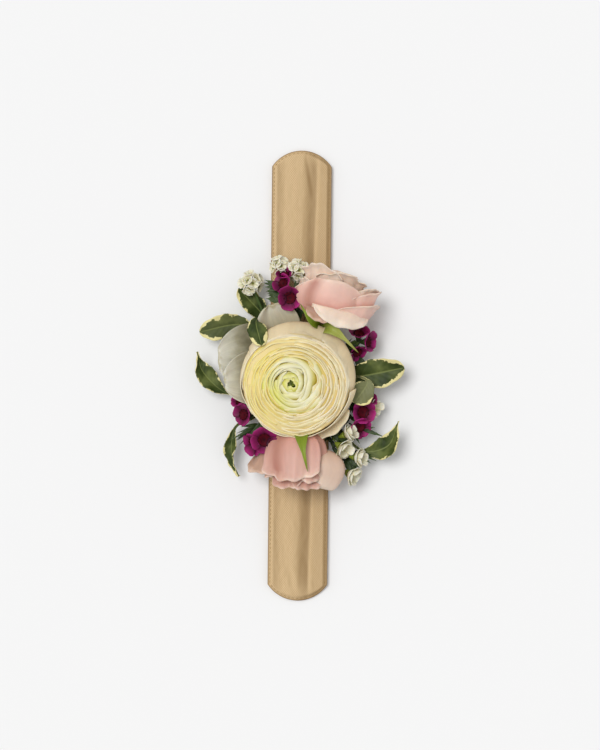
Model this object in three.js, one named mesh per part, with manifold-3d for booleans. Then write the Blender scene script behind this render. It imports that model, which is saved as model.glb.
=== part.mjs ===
// Slap-band wrist corsage lying straight, in millimetres: X across the band, Y along it, Z up.
// A sprung steel blade in a sewn sleeve carries a ranunculus, two spray roses, sprigs and leaves.
// Both tails of the band are chains of links that curl down round the wrist.

import * as THREE from "three";
import { mergeVertices } from "three/addons/utils/BufferGeometryUtils.js";
import Module from "manifold-3d";

const wasm = await Module();
wasm.setup();

// Sleeve
const bandLength = 230;
const bandWidth = 30.4;
const endRise = 8.4;
const clothThickness = 0.6;
const seamWidth = 2;
const footWidth = 16;
const edgeRise = 1.6;
const slackRise = 0.45;
const valleyOffset = 6;

// Blade
const bladeThickness = 0.25;
const bladeEndMargin = 4;
const layerGap = 0.3;

// Links of the curling tails
const coreLength = 24;
const linksPerTail = 6;
const hingeGap = 0.5;

// Seats of the flowers
const seatGap = 0.3;
const padThickness = 2;
const padWidth = 22;
const padInset = 1;
const stemRadius = 1.1;

// Ranunculus
const ranunculusPlace = [1.2, 0.4];
const ranunculusLean = 8;
const ranunculusLeanTowards = 219;
const ranunculusRadius = 28.8;
const whorlThickness = 5.6;
const bowlDepth = 13;
const rimRise = 7;
const rimStep = 1.4;
const receptacleRadius = 6;
const receptacleHeight = 6.2;

// Roses
const roseHeartRadius = 13;
const roseHeartLength = 29;
const rosePetalThickness = 0.9;
const roseUpperTuck = 4.3;
const roseLowerTuck = 6.3;

// Leaves and loose petals
const leafThickness = 0.9;
const guardThickness = 1;
const stalkHalfWidth = 0.9;

// Small flowers
const waxPetalRadius = 2.5;
const waxPetalThickness = 0.7;
const waxCupRadius = 1.9;
const waxCupDepth = 4;
const fillerRadius = 6;
const sprigRadius = 0.7;

// Values that follow from the ones above
const halfBand = bandWidth / 2;
const halfBore = halfBand - seamWidth;
const halfBlade = halfBore - layerGap;
const bore = bladeThickness + 2 * layerGap;
const sleeveThickness = bore + 2 * clothThickness;
const halfCore = coreLength / 2;
const linkPitch = (bandLength - coreLength) / 2 / linksPerTail;
const bandTop = edgeRise + 2 * clothThickness + slackRise;
const padTop = bandTop + seatGap + padThickness;
const seatZ = padTop + seatGap;
const headBase = seatZ + receptacleHeight;
const headEquator = headBase + seatGap + bowlDepth;
const keepOut = 0.5;

// Colours of the real materials
function finish(color, roughness, metalness = 0) {
  return new THREE.MeshStandardMaterial({ color, roughness, metalness, side: THREE.DoubleSide });
}
const tanCloth = "#c8aa7a";
const springSteel = "#8d9196";
const curedGlue = "#d9d2bf";
const creamPetal = "#eee0b4";
const greenHeart = "#d3da6a";
const guardPetal = "#cfcdbd";
const pinkPetal = "#edc0b4";
const peachPetal = "#f2d6c2";
const freshGreen = "#84a52a";
const leafGreen = "#55693c";
const magenta = "#a0237e";
const whiteBloom = "#edeadb";

// Turns a geometry into a solid whose faces point outwards.
function solidOf(geometry) {
  const bare = geometry.clone();
  bare.deleteAttribute("normal");
  bare.deleteAttribute("uv");
  const merged = mergeVertices(bare, 1e-3);
  const points = merged.attributes.position.array;
  const corners = merged.index.array;
  const triangles = [];
  let volume = 0;
  for (let i = 0; i < corners.length; i += 3) {
    const [a, b, c] = [corners[i], corners[i + 1], corners[i + 2]];
    if (a === b || b === c || c === a) continue;
    triangles.push(a, b, c);
    const p = new THREE.Vector3().fromArray(points, 3 * a);
    const q = new THREE.Vector3().fromArray(points, 3 * b);
    const r = new THREE.Vector3().fromArray(points, 3 * c);
    volume += p.dot(q.cross(r));
  }
  if (volume < 0) triangles.reverse();
  const options = { numProp: 3, vertProperties: points, triVerts: Uint32Array.from(triangles) };
  return new wasm.Manifold(new wasm.Mesh(options));
}

// Turns a solid back into a geometry.
function geometryOf(solid) {
  const mesh = solid.getMesh();
  const geometry = new THREE.BufferGeometry();
  geometry.setAttribute("position", new THREE.BufferAttribute(Float32Array.from(mesh.vertProperties), 3));
  geometry.setIndex(new THREE.BufferAttribute(Uint32Array.from(mesh.triVerts), 1));
  geometry.computeVertexNormals();
  return geometry;
}

// The same solid with its surface moved out, the room that a neighbour keeps clear of.
function grown(solid, distance) {
  const geometry = geometryOf(solid);
  const place = geometry.attributes.position;
  const normal = geometry.attributes.normal;
  for (let i = 0; i < place.count; i += 1) {
    place.setX(i, place.getX(i) + distance * normal.getX(i));
    place.setY(i, place.getY(i) + distance * normal.getY(i));
    place.setZ(i, place.getZ(i) + distance * normal.getZ(i));
  }
  return solidOf(geometry);
}

// Joins several geometries that reach into each other.
function joined(geometries) {
  return geometryOf(geometries.map(solidOf).reduce((sum, next) => sum.add(next)));
}

// A closed plate between an upper and a lower face, each given by a function of two shares.
function plate(columns, rows, upperAt, lowerAt) {
  const points = [];
  const triangles = [];
  const layer = (columns + 1) * (rows + 1);
  for (const at of [upperAt, lowerAt]) {
    for (let row = 0; row <= rows; row += 1) {
      for (let column = 0; column <= columns; column += 1) {
        points.push(...at(column / columns, row / rows).toArray());
      }
    }
  }
  const spot = (row, column) => row * (columns + 1) + column;
  for (let row = 0; row < rows; row += 1) {
    for (let column = 0; column < columns; column += 1) {
      const [a, b] = [spot(row, column), spot(row, column + 1)];
      const [c, d] = [spot(row + 1, column + 1), spot(row + 1, column)];
      triangles.push(a, b, c, a, c, d);
      triangles.push(layer + a, layer + c, layer + b, layer + a, layer + d, layer + c);
    }
  }
  const border = [];
  for (let column = 0; column < columns; column += 1) border.push(spot(0, column));
  for (let row = 0; row < rows; row += 1) border.push(spot(row, columns));
  for (let column = columns; column > 0; column -= 1) border.push(spot(rows, column));
  for (let row = rows; row > 0; row -= 1) border.push(spot(row, 0));
  border.forEach((here, i) => {
    const next = border[(i + 1) % border.length];
    triangles.push(here, layer + here, next, next, layer + here, layer + next);
  });
  const geometry = new THREE.BufferGeometry();
  geometry.setAttribute("position", new THREE.Float32BufferAttribute(points, 3));
  geometry.setIndex(triangles);
  return geometry;
}

// A petal, leaf or sepal: a plate along a spine, with its edges bent up by a share of its half width.
function blade({ spine, up, halfWidth, thickness, cup = 0, columns = 4, rows = 6 }) {
  const curve = new THREE.CatmullRomCurve3(spine.map((point) => new THREE.Vector3(...point)));
  const upwards = new THREE.Vector3(...up);
  const surface = (offset) => (across, along) => {
    const share = 2 * across - 1;
    const tangent = curve.getTangent(along);
    const side = tangent.clone().cross(upwards).normalize();
    const normal = side.clone().cross(tangent).normalize();
    const width = halfWidth(along);
    const point = curve.getPoint(along);
    point.addScaledVector(side, share * width);
    return point.addScaledVector(normal, cup * width * share * share + offset);
  };
  return plate(columns, rows, surface(thickness / 2), surface(-thickness / 2));
}

// Half width along a petal: it widens from a narrow foot and ends round.
function petalOutline(half) {
  const widest = 0.62;
  return (along) => {
    if (along < widest) return half * (0.32 + 0.68 * Math.sin((Math.PI / 2) * (along / widest)));
    return half * Math.sqrt(1 - ((along - widest) / 0.4) ** 2);
  };
}

// Half width along a sepal: a pointed oval.
function sepalOutline(half) {
  return (along) => Math.max(stalkHalfWidth * 0.6, half * Math.sin(Math.PI * along ** 0.8) ** 0.85);
}

// Half width along a leaf: a stalk, then a blade that widens towards its blunt tip.
function leafOutline(half, stalk) {
  const widest = 0.62;
  return (along) => {
    if (along <= stalk) return stalkHalfWidth;
    const share = (along - stalk) / (1 - stalk);
    if (share > widest) return half * Math.sqrt(1 - ((share - widest) / 0.4) ** 2);
    return stalkHalfWidth + (half - stalkHalfWidth) * Math.sin((Math.PI / 2) * (share / widest)) ** 1.25;
  };
}

// A turned shape about the Z axis from radius and height pairs that start and end on the axis.
function turned(profile, sides) {
  const lathe = new THREE.LatheGeometry(profile.map(([r, z]) => new THREE.Vector2(r, z)), sides);
  return lathe.rotateX(Math.PI / 2);
}

// A round stem along a few points.
function stem(points, radius) {
  const curve = new THREE.CatmullRomCurve3(points.map((point) => new THREE.Vector3(...point)));
  const section = new THREE.Shape().absarc(0, 0, radius, 0, 2 * Math.PI, false);
  return new THREE.ExtrudeGeometry(section, { extrudePath: curve, steps: 4, curveSegments: 3 });
}

// Pieces already placed, each with the room that later pieces keep clear of.
const placed = [];

// Adds a named piece, cut back from the pieces already placed unless they belong to the same set.
function addPiece(parent, name, geometry, material, set = name) {
  const mesh = new THREE.Mesh(geometry, material);
  mesh.name = name;
  parent.add(mesh);
  mesh.updateWorldMatrix(true, false);
  let solid = solidOf(geometry.clone().applyMatrix4(mesh.matrixWorld));
  const box = new THREE.Box3().setFromObject(mesh);
  for (const other of placed) {
    if (other.set !== set && other.box.intersectsBox(box)) solid = solid.subtract(other.room);
  }
  const bodies = solid.decompose();
  bodies.sort((first, second) => second.volume() - first.volume());
  placed.push({ set, box: box.clone().expandByScalar(keepOut), room: grown(bodies[0], keepOut) });
  mesh.geometry = geometryOf(bodies[0]).applyMatrix4(mesh.matrixWorld.clone().invert());
  return mesh;
}

// Height of the sleeve's underside: flat under the middle, bent up towards both edges.
function undersideAt(x) {
  const beyond = Math.max(0, Math.abs(x) - footWidth / 2);
  return edgeRise * (beyond / (halfBand - footWidth / 2)) ** 2;
}

// Height of the sleeve's front: loose cloth stands up on both sides of a valley off the middle.
function frontAt(x) {
  const inside = Math.min(1, Math.max(0, (halfBand - Math.abs(x)) / seamWidth));
  const slack = slackRise * Math.sin(Math.min(Math.PI / 2, Math.abs(x - valleyOffset) / 4)) ** 2;
  const thickness = 2 * clothThickness + (sleeveThickness - 2 * clothThickness + slack) * inside;
  return undersideAt(x) + thickness;
}

// Plan of a link: a plain strip, or a strip with a round end that leaves corners at its shoulders.
function strip(halfWidth, fromY, toY, rise) {
  const plan = new THREE.Shape();
  const way = Math.sign(toY - fromY);
  plan.moveTo(-halfWidth, fromY);
  plan.lineTo(halfWidth, fromY);
  if (rise === 0) {
    plan.lineTo(halfWidth, toY);
    plan.lineTo(-halfWidth, toY);
    return plan;
  }
  const radius = (halfWidth ** 2 + rise ** 2) / (2 * rise);
  const spread = Math.asin(halfWidth / radius);
  const middle = (way * Math.PI) / 2;
  plan.lineTo(halfWidth, toY - way * rise);
  plan.absarc(0, toY - way * radius, radius, middle - way * spread, middle + way * spread, way < 0);
  return plan;
}

// A shape drawn in X and Z, drawn out along Y between two places.
function drawnOut(shape, fromY, toY) {
  const depth = Math.abs(toY - fromY);
  const geometry = new THREE.ExtrudeGeometry(shape, { depth, bevelEnabled: false });
  return geometry.rotateX(Math.PI / 2).translate(0, Math.max(fromY, toY), 0);
}

// Cuts a drawn-out shape to a plan, for the round ends.
function trimmed(geometry, plan) {
  const tall = 20;
  const cutter = new THREE.ExtrudeGeometry(plan, { depth: tall, bevelEnabled: false, curveSegments: 10 });
  return geometryOf(solidOf(geometry).intersect(solidOf(cutter.translate(0, 0, -tall / 2))));
}

// A closed outline across the band between a lower and an upper height, in a number of steps.
function outlineAcross(half, steps, lowerAt, upperAt) {
  const across = Array.from({ length: steps + 1 }, (unused, i) => half * ((2 * i) / steps - 1));
  const lower = across.map((x) => new THREE.Vector2(x, lowerAt(x)));
  const upper = across.map((x) => new THREE.Vector2(x, upperAt(x)));
  return [...lower, ...upper.reverse()];
}

// Sections of the sleeve, of the bore in it and of the blade in the bore.
const boreFoot = (x) => undersideAt(x) + clothThickness;
const bladeFoot = (x) => boreFoot(x) + layerGap;
const sleeveOutline = outlineAcross(halfBand, 14, undersideAt, frontAt);
const boreOutline = outlineAcross(halfBore, 6, boreFoot, (x) => boreFoot(x) + bore);
const bladeOutline = outlineAcross(halfBlade, 6, bladeFoot, (x) => bladeFoot(x) + bladeThickness);
const solidSection = new THREE.Shape(sleeveOutline);
const boreSection = new THREE.Shape(boreOutline);
const bladeSection = new THREE.Shape(bladeOutline);
const sleeveSection = new THREE.Shape(sleeveOutline);
sleeveSection.holes.push(new THREE.Path(boreOutline));

// A link of the band between two places along Y, with a round closed end on the last one.
function addLink(parent, suffix, fromY, toY, last) {
  const way = Math.sign(toY - fromY);
  const start = fromY + (way * hingeGap) / 2;
  const end = last ? toY : toY - (way * hingeGap) / 2;
  const origin = parent.getWorldPosition(new THREE.Vector3());
  let sleeve = drawnOut(sleeveSection, start, end);
  let spring = drawnOut(bladeSection, start, end);
  if (last) {
    const boreEnd = end - way * seamWidth;
    const outer = solidOf(trimmed(drawnOut(solidSection, start, end), strip(halfBand, start, end, endRise)));
    const boreStart = start - way;
    const borePlan = strip(halfBore, boreStart, boreEnd, endRise);
    const cut = trimmed(drawnOut(boreSection, boreStart, boreEnd), borePlan);
    const bladeEnd = end - way * bladeEndMargin;
    sleeve = geometryOf(outer.subtract(solidOf(cut)));
    spring = trimmed(spring, strip(halfBlade, start, bladeEnd, endRise));
  }
  sleeve.translate(-origin.x, -origin.y, -origin.z);
  spring.translate(-origin.x, -origin.y, -origin.z);
  addPiece(parent, `sleeve_${suffix}`, sleeve, finish(tanCloth, 0.75), "band");
  addPiece(parent, `blade_${suffix}`, spring, finish(springSteel, 0.3, 1), "band");
}

const corsage = new THREE.Group();
corsage.name = "wrist_corsage";
const core = new THREE.Group();
core.name = "core";
corsage.add(core);
addLink(core, "core", -halfCore + hingeGap / 2, halfCore, false);

// Each tail is a chain of links, every one hung on the link before it.
for (const [tail, way] of [["upper", 1], ["lower", -1]]) {
  let parent = core;
  for (let i = 1; i <= linksPerTail; i += 1) {
    const link = new THREE.Group();
    link.name = `${tail}_link_${i}`;
    link.position.y = i === 1 ? way * halfCore : way * linkPitch;
    parent.add(link);
    link.updateWorldMatrix(true, false);
    const fromY = way * (halfCore + (i - 1) * linkPitch);
    addLink(link, `${tail}_${i}`, fromY, fromY + way * linkPitch, i === linksPerTail);
    parent = link;
  }
}

// Glue pad on the core, under every stem.
const padLength = coreLength - 2 * padInset;
const padPlan = strip(padWidth / 2, -padLength / 2, padLength / 2, 0);
const pad = new THREE.ExtrudeGeometry(padPlan, { depth: padThickness, bevelEnabled: false });
addPiece(core, "glue_pad", pad.translate(0, 0, bandTop + seatGap), finish(curedGlue, 0.6));

// Ranunculus: bowls of petals nested in each other round a closed heart, leaning a little to one side.
const ranunculus = new THREE.Group();
ranunculus.name = "ranunculus_head";
ranunculus.position.set(...ranunculusPlace, headBase);
const leanTowards = THREE.MathUtils.degToRad(ranunculusLeanTowards);
const leanAxis = new THREE.Vector3(-Math.sin(leanTowards), Math.cos(leanTowards), 0);
ranunculus.quaternion.setFromAxisAngle(leanAxis, THREE.MathUtils.degToRad(ranunculusLean));
core.add(ranunculus);

// Radius of a petal layer above the equator: every layer leans in the same way.
const equator = headEquator - headBase;
const leaningIn = (radius, rise) => radius * (1 - 0.16 * (rise / 12) ** 2);

// One side of a layer, from the axis under the bowl up to the rim.
function layerSide(radius, rise) {
  const depth = (bowlDepth * radius) / ranunculusRadius;
  const under = [-90, -68, -46, -23].map((angle) => {
    const turn = THREE.MathUtils.degToRad(angle);
    return [angle === -90 ? 0 : radius * Math.cos(turn), equator + depth * Math.sin(turn)];
  });
  const over = [0, 0.5, 1].map((share) => [leaningIn(radius, rise * share), equator + rise * share]);
  return [...under, ...over];
}

// Five soft lobes round the rim, the same on every layer so that the layers stay nested.
function lobed(geometry) {
  const place = geometry.attributes.position;
  for (let i = 0; i < place.count; i += 1) {
    const [x, y, z] = [place.getX(i), place.getY(i), place.getZ(i)];
    const share = THREE.MathUtils.smoothstep(z, equator - bowlDepth / 2, equator + rimRise);
    const swell = 1 + 0.016 * share * Math.sin(5 * Math.atan2(y, x));
    place.setXY(i, x * swell, y * swell);
  }
  return geometry;
}

const whorls = ["outer", "middle", "inner"];
whorls.forEach((whorl, i) => {
  const radius = ranunculusRadius - i * (whorlThickness + seatGap);
  const rise = rimRise + i * rimStep;
  const outside = layerSide(radius, rise);
  const inside = layerSide(radius - whorlThickness, rise - rimStep / 2).reverse();
  const bowl = lobed(turned([...outside, ...inside], 20));
  addPiece(ranunculus, `ranunculus_${whorl}_petals`, bowl, finish(creamPetal, 0.6), "ranunculus");
});
const heartRadius = ranunculusRadius - whorls.length * (whorlThickness + seatGap);
const heartRise = rimRise + 2 * rimStep;
const heartSide = layerSide(heartRadius, heartRise);
const heartTop = equator + heartRise;
const heartCrown = [
  [heartRadius * 0.6, heartTop + 1.8],
  [heartRadius * 0.25, heartTop + 2],
  [0, heartTop + 0.8],
];
const heart = lobed(turned([...heartSide, ...heartCrown], 20));
addPiece(ranunculus, "ranunculus_heart", heart, finish(greenHeart, 0.55), "ranunculus");

// Receptacle and stem stub, upright on the glue pad.
const receptacleSide = [[0, 0], [3.4, 0], [3.6, 2.5], [receptacleRadius, 5], [receptacleRadius, 7], [0, 7]];
const receptacle = turned(receptacleSide, 16).translate(...ranunculusPlace, seatZ);
addPiece(core, "ranunculus_receptacle", receptacle, finish(freshGreen, 0.6));

// Roses: a closed heart, loose petals and a calyx, each rose lying on its side with its mouth outwards.
// Its own weight presses the rose flat, by a share of its height.
function addRose(name, { foot, axis, size, flat, stretch, stemFoot, petals, sepals }) {
  const rose = new THREE.Group();
  rose.name = name;
  const along = new THREE.Vector3(...axis).normalize();
  const over = new THREE.Vector3(0, 0, 1).addScaledVector(along, -along.z).normalize();
  const across = along.clone().cross(over);
  rose.quaternion.setFromRotationMatrix(new THREE.Matrix4().makeBasis(over, across, along));
  rose.position.set(...foot);
  core.add(rose);
  rose.updateWorldMatrix(true, false);

  const radius = roseHeartRadius * size;
  const length = roseHeartLength * size * stretch;
  const heartProfile = [
    [0, 9],
    [radius * 0.5, 10],
    [radius * 0.86, length * 0.46],
    [radius, length * 0.62],
    [radius * 0.9, length * 0.9],
    [radius * 0.5, length],
    [0, length * 0.93],
  ];
  addPiece(rose, `${name}_heart`, turned(heartProfile, 20).scale(flat, 1, 1), finish(pinkPetal, 0.6));

  const sideways = (angle, [r, z]) => [r * Math.cos(angle), r * Math.sin(angle), z];
  const facing = (angle, lean) => sideways(angle, [Math.cos(lean), Math.sin(lean)]);
  const hip = turned([[0, -3], [2, -2.6], [4, 0.5], [4.4, 3], [0, 8.8]], 14);
  const leaflets = sepals.map(({ angle, lean, side, halfWidth }) => {
    const turn = THREE.MathUtils.degToRad(angle);
    const leaflet = blade({
      spine: side.map((point) => sideways(turn, point)),
      up: facing(turn, THREE.MathUtils.degToRad(lean)),
      halfWidth: sepalOutline(halfWidth),
      thickness: leafThickness,
      rows: 8,
      columns: 2,
    });
    return leaflet.scale(flat, 1, 1);
  });
  const intoRose = rose.matrixWorld.clone().invert();
  const bottom = [stemFoot[0], stemFoot[1], seatZ + stemRadius];
  const bend = [(stemFoot[0] + foot[0]) / 2, (stemFoot[1] + foot[1]) / 2, seatZ + stemRadius + 0.8];
  const stalk = stem([bottom, bend, foot], stemRadius).applyMatrix4(intoRose);
  addPiece(rose, `${name}_calyx`, joined([hip, stalk, ...leaflets]), finish(freshGreen, 0.6));

  for (const petal of petals) {
    const angle = THREE.MathUtils.degToRad(petal.angle);
    const shape = blade({
      spine: petal.side.map(([r, z]) => sideways(angle, [r * size, z * size])),
      up: facing(angle, THREE.MathUtils.degToRad(petal.lean)),
      halfWidth: petalOutline(petal.halfWidth * size),
      thickness: rosePetalThickness,
      cup: petal.cup,
    });
    addPiece(rose, `${name}_${petal.name}`, shape.scale(flat, 1, 1), finish(petal.color, 0.6));
  }
}

addRose("rose_upper", {
  foot: [12, ranunculusRadius - roseUpperTuck, 18],
  axis: [0.22, 0.96, 0.08],
  size: 1.13,
  flat: 0.84,
  stretch: 1,
  stemFoot: [6.5, 7.5],
  petals: [
    { name: "cheek_petal", angle: 0, lean: -30, side: [[4.2, 2.5], [14, 7], [16.8, 14], [14.8, 22.5]],
      halfWidth: 15.5, cup: -0.6, color: pinkPetal },
    { name: "right_petal", angle: 62, lean: -30, side: [[4.2, 1.5], [15.8, 4], [20.8, 8.5], [24.5, 15]],
      halfWidth: 12.5, cup: -0.3, color: peachPetal },
    { name: "folded_petal", angle: 8, lean: 66,
      side: [[4.2, 1], [12.6, 3.8], [16.8, 6.4], [19, 4.6], [19.6, 0.5]], halfWidth: 15, cup: 0.03,
      color: peachPetal },
  ],
  sepals: [
    { angle: -68, lean: -45, side: [[3.5, 1], [11, 1], [17, 4], [18, 10]], halfWidth: 2.6 },
    { angle: 62, lean: 60, side: [[3.5, 1], [10, -2], [20, -8]], halfWidth: 2.6 },
  ],
});

addRose("rose_lower", {
  foot: [0, roseLowerTuck - ranunculusRadius, 16],
  axis: [-0.02, -0.98, 0.02],
  size: 1.06,
  flat: 0.86,
  stretch: 1.1,
  stemFoot: [0, -7.5],
  petals: [
    { name: "cheek_petal", angle: 16, lean: -30, side: [[4.2, 2.5], [13.8, 9], [16, 18], [14.4, 30.5]],
      halfWidth: 13, cup: -0.5, color: pinkPetal },
    { name: "left_petal", angle: 76, lean: -30, side: [[4.2, 2.5], [14.5, 10], [20, 17], [25, 24.5]],
      halfWidth: 11.5, cup: -0.3, color: peachPetal },
    { name: "right_petal", angle: -70, lean: -30,
      side: [[4.2, 2.5], [13.5, 11], [18.5, 18], [20.6, 25], [19, 32]], halfWidth: 12, cup: -0.32,
      color: peachPetal },
  ],
  sepals: [
    { angle: -6, lean: -45, halfWidth: 4,
      side: [[1.8, 6], [5.5, 8.6], [9.5, 10.8], [14, 12.5], [19, 15.5], [20.5, 20], [19, 26]] },
  ],
});

// Guard petals of the ranunculus, loose under its bowl and spreading beyond it.
const guards = [
  { name: "left_back", spine: [[-8, 6, -3.6], [-17, 7.5, -1.6], [-26, 9, 0.8], [-41.8, 8, 7.5]],
    halfWidth: 17.5, cup: 0.06 },
  { name: "left_front", spine: [[-8, -1, -2], [-16, -1, 0.2], [-24, -1.5, 2.6], [-38.5, -3.5, 10.5]],
    halfWidth: 14.5, cup: 0.2 },
  { name: "top", spine: [[-3, 8, -1.5], [-8.5, 24, 5], [-13, 36.6, 11]],
    halfWidth: 12.5, cup: 0.22 },
];
for (const { name, spine, halfWidth, cup } of guards) {
  const raised = spine.map(([x, y, z]) => [x, y, headBase + z]);
  const outline = petalOutline(halfWidth);
  const shape = blade({ spine: raised, up: [0, 0, 1], halfWidth: outline, thickness: guardThickness, cup });
  addPiece(core, `ranunculus_guard_${name}`, shape, finish(guardPetal, 0.6));
}

// One five-petalled waxflower on its cup, facing a given way.
function waxflower(at, facing) {
  const reach = 2 * waxPetalRadius + 0.6;
  const side = [
    [0, -waxCupDepth],
    [1.1, -waxCupDepth],
    [waxCupRadius, 0],
    [reach, 1.4],
    [reach, 1.4 + waxPetalThickness],
    [waxCupRadius * 0.8, waxPetalThickness],
    [0, waxPetalThickness * 0.8],
  ];
  const flower = turned(side, 20);
  const place = flower.attributes.position;
  for (let i = 0; i < place.count; i += 1) {
    const [x, y] = [place.getX(i), place.getY(i)];
    const lobe = 0.45 + 0.55 * Math.sqrt(Math.abs(Math.cos(2.5 * Math.atan2(y, x))));
    if (Math.hypot(x, y) > waxCupRadius * 1.2) place.setXY(i, x * lobe, y * lobe);
  }
  const upright = new THREE.Vector3(0, 0, 1);
  const turn = new THREE.Quaternion().setFromUnitVectors(upright, new THREE.Vector3(...facing).normalize());
  return flower.applyQuaternion(turn).translate(...at);
}

// A tight head of small round florets, as one lumpy dome.
function floretHead(at) {
  const head = new THREE.SphereGeometry(fillerRadius, 12, 7);
  head.rotateX(Math.PI / 2).scale(1, 1, 0.62);
  const place = head.attributes.position;
  for (let i = 0; i < place.count; i += 1) {
    const [x, y] = [place.getX(i), place.getY(i)];
    const lump = 0.9 + 0.14 * Math.cos(6 * Math.atan2(y, x));
    place.setXY(i, x * lump, y * lump);
  }
  return head.translate(...at);
}

// A sprig: flowers on thin stems that meet at one foot on the glue pad.
function addSprig(name, foot, flowers, color) {
  const seat = [foot[0], foot[1], seatZ + sprigRadius];
  const parts = flowers.map(({ at, facing, under }) => {
    const end = under ?? [at[0], at[1], at[2] - waxCupDepth / 2];
    const bend = [(seat[0] + end[0]) / 2, (seat[1] + end[1]) / 2, seat[2] + 1];
    const stalk = stem([seat, bend, end], sprigRadius);
    return joined([stalk, facing ? waxflower(at, facing) : floretHead(at)]);
  });
  addPiece(core, name, joined(parts), finish(color, 0.55));
}

addSprig("waxflower_sprig_top", [-5, 10], [
  { at: [-5.3, 39.2, 15], facing: [0, 0, 1] },
  { at: [-10.4, 47, 13], facing: [-0.2, 0.2, 1] },
], magenta);
addSprig("waxflower_sprig_right_upper", [10, 6.5], [
  { at: [30.8, 22, 15], facing: [0.3, 0.6, 1] },
  { at: [34.4, 17, 14], facing: [0.5, 0, 1] },
  { at: [29, 11.5, 15], facing: [0.4, -0.3, 1] },
], magenta);
addSprig("waxflower_sprig_right_lower", [10, -7], [
  { at: [33.6, -9, 12.5], facing: [0.4, 0.3, 1] },
  { at: [32.2, -16.4, 15], facing: [0.3, 0, 1] },
  { at: [30.8, -25.4, 13], facing: [0.3, -0.3, 1] },
], magenta);
addSprig("waxflower_sprig_left", [-10, -8], [
  { at: [-30.6, -13.2, 12.5], facing: [-0.4, 0.3, 1] },
  { at: [-29.8, -19.6, 14], facing: [-0.4, 0, 1] },
  { at: [-20, -33.4, 15], facing: [-0.2, -0.4, 1] },
], magenta);
addSprig("white_waxflower_sprig", [6, -10], [
  { at: [24.3, -33.4, 14], facing: [0.3, -0.2, 1] },
  { at: [31.5, -42.4, 12], facing: [0.4, -0.2, 1] },
  { at: [27.4, -51.4, 10], facing: [0.2, -0.4, 1] },
], whiteBloom);
addSprig("white_filler_left", [-9.5, 10], [{ at: [-25, 45.8, 13] }], whiteBloom);
addSprig("white_filler_band", [-1, 10.5], [{ at: [-13, 56.3, 10.5] }, { at: [-0.6, 53.4, 11] }], whiteBloom);

// Pittosporum leaves: each spine runs from the pad along the stalk to the tip, heights above the seat.
const leaves = [
  { name: "left_upper", spine: [[-9.5, 7, 0.5], [-20, 20, 2.5], [-31, 25.5, 5], [-50.8, 21.5, 8]],
    stalk: 0.46, halfWidth: 6.3, cup: 0.15 },
  { name: "left_lower", spine: [[-9.5, -4, 0.5], [-26, -10, 1.5], [-38, -9.5, 3], [-52.6, 10.5, 6]],
    stalk: 0.46, halfWidth: 4.6, cup: 0.25 },
  { name: "over_petal", spine: [[-4, 9.5, 0.5], [-15, 27, 5], [-20.5, 30.5, 17], [-19.5, 14.5, 24.5]],
    stalk: 0.6, halfWidth: 5, cup: -0.3 },
  { name: "behind_filler", spine: [[-7, 10, 0.5], [-16, 27, -0.8], [-31.5, 44, 3]],
    stalk: 0.48, halfWidth: 5.6, cup: 0.2 },
  { name: "lower_left", spine: [[-8, -10, 0.5], [-22, -22, 2], [-35, -28, 4], [-30.5, -53, 3]],
    stalk: 0.46, halfWidth: 3.9, cup: 0.5 },
  { name: "right", spine: [[9.5, 1.5, 0.5], [20, 2, 4], [30, 0, 8], [52.8, 5, 10]],
    stalk: 0.42, halfWidth: 7.6, cup: 0.15 },
  { name: "right_folded", spine: [[9.5, -3, 0.5], [22, 0, 6], [34, -2.5, 14.5], [27.5, -15, 14.5]],
    stalk: 0.64, halfWidth: 6.2, cup: 0.25 },
  { name: "right_lower", spine: [[8, -9.5, 0.5], [20, -26, 1.5], [32, -38, 4], [50, -25, 8]],
    stalk: 0.56, halfWidth: 5.2, cup: 0.3 },
];
for (const { name, spine, stalk, halfWidth, cup } of leaves) {
  const raised = spine.map(([x, y, z]) => [x, y, seatZ + z]);
  const outline = leafOutline(halfWidth, stalk);
  const shape = blade({
    spine: raised,
    up: [0, 0, 1],
    halfWidth: outline,
    thickness: leafThickness,
    cup,
    rows: 9,
  });
  addPiece(core, `leaf_${name}`, shape, finish(leafGreen, 0.5));
}

export default corsage;
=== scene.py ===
import math
import random

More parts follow.
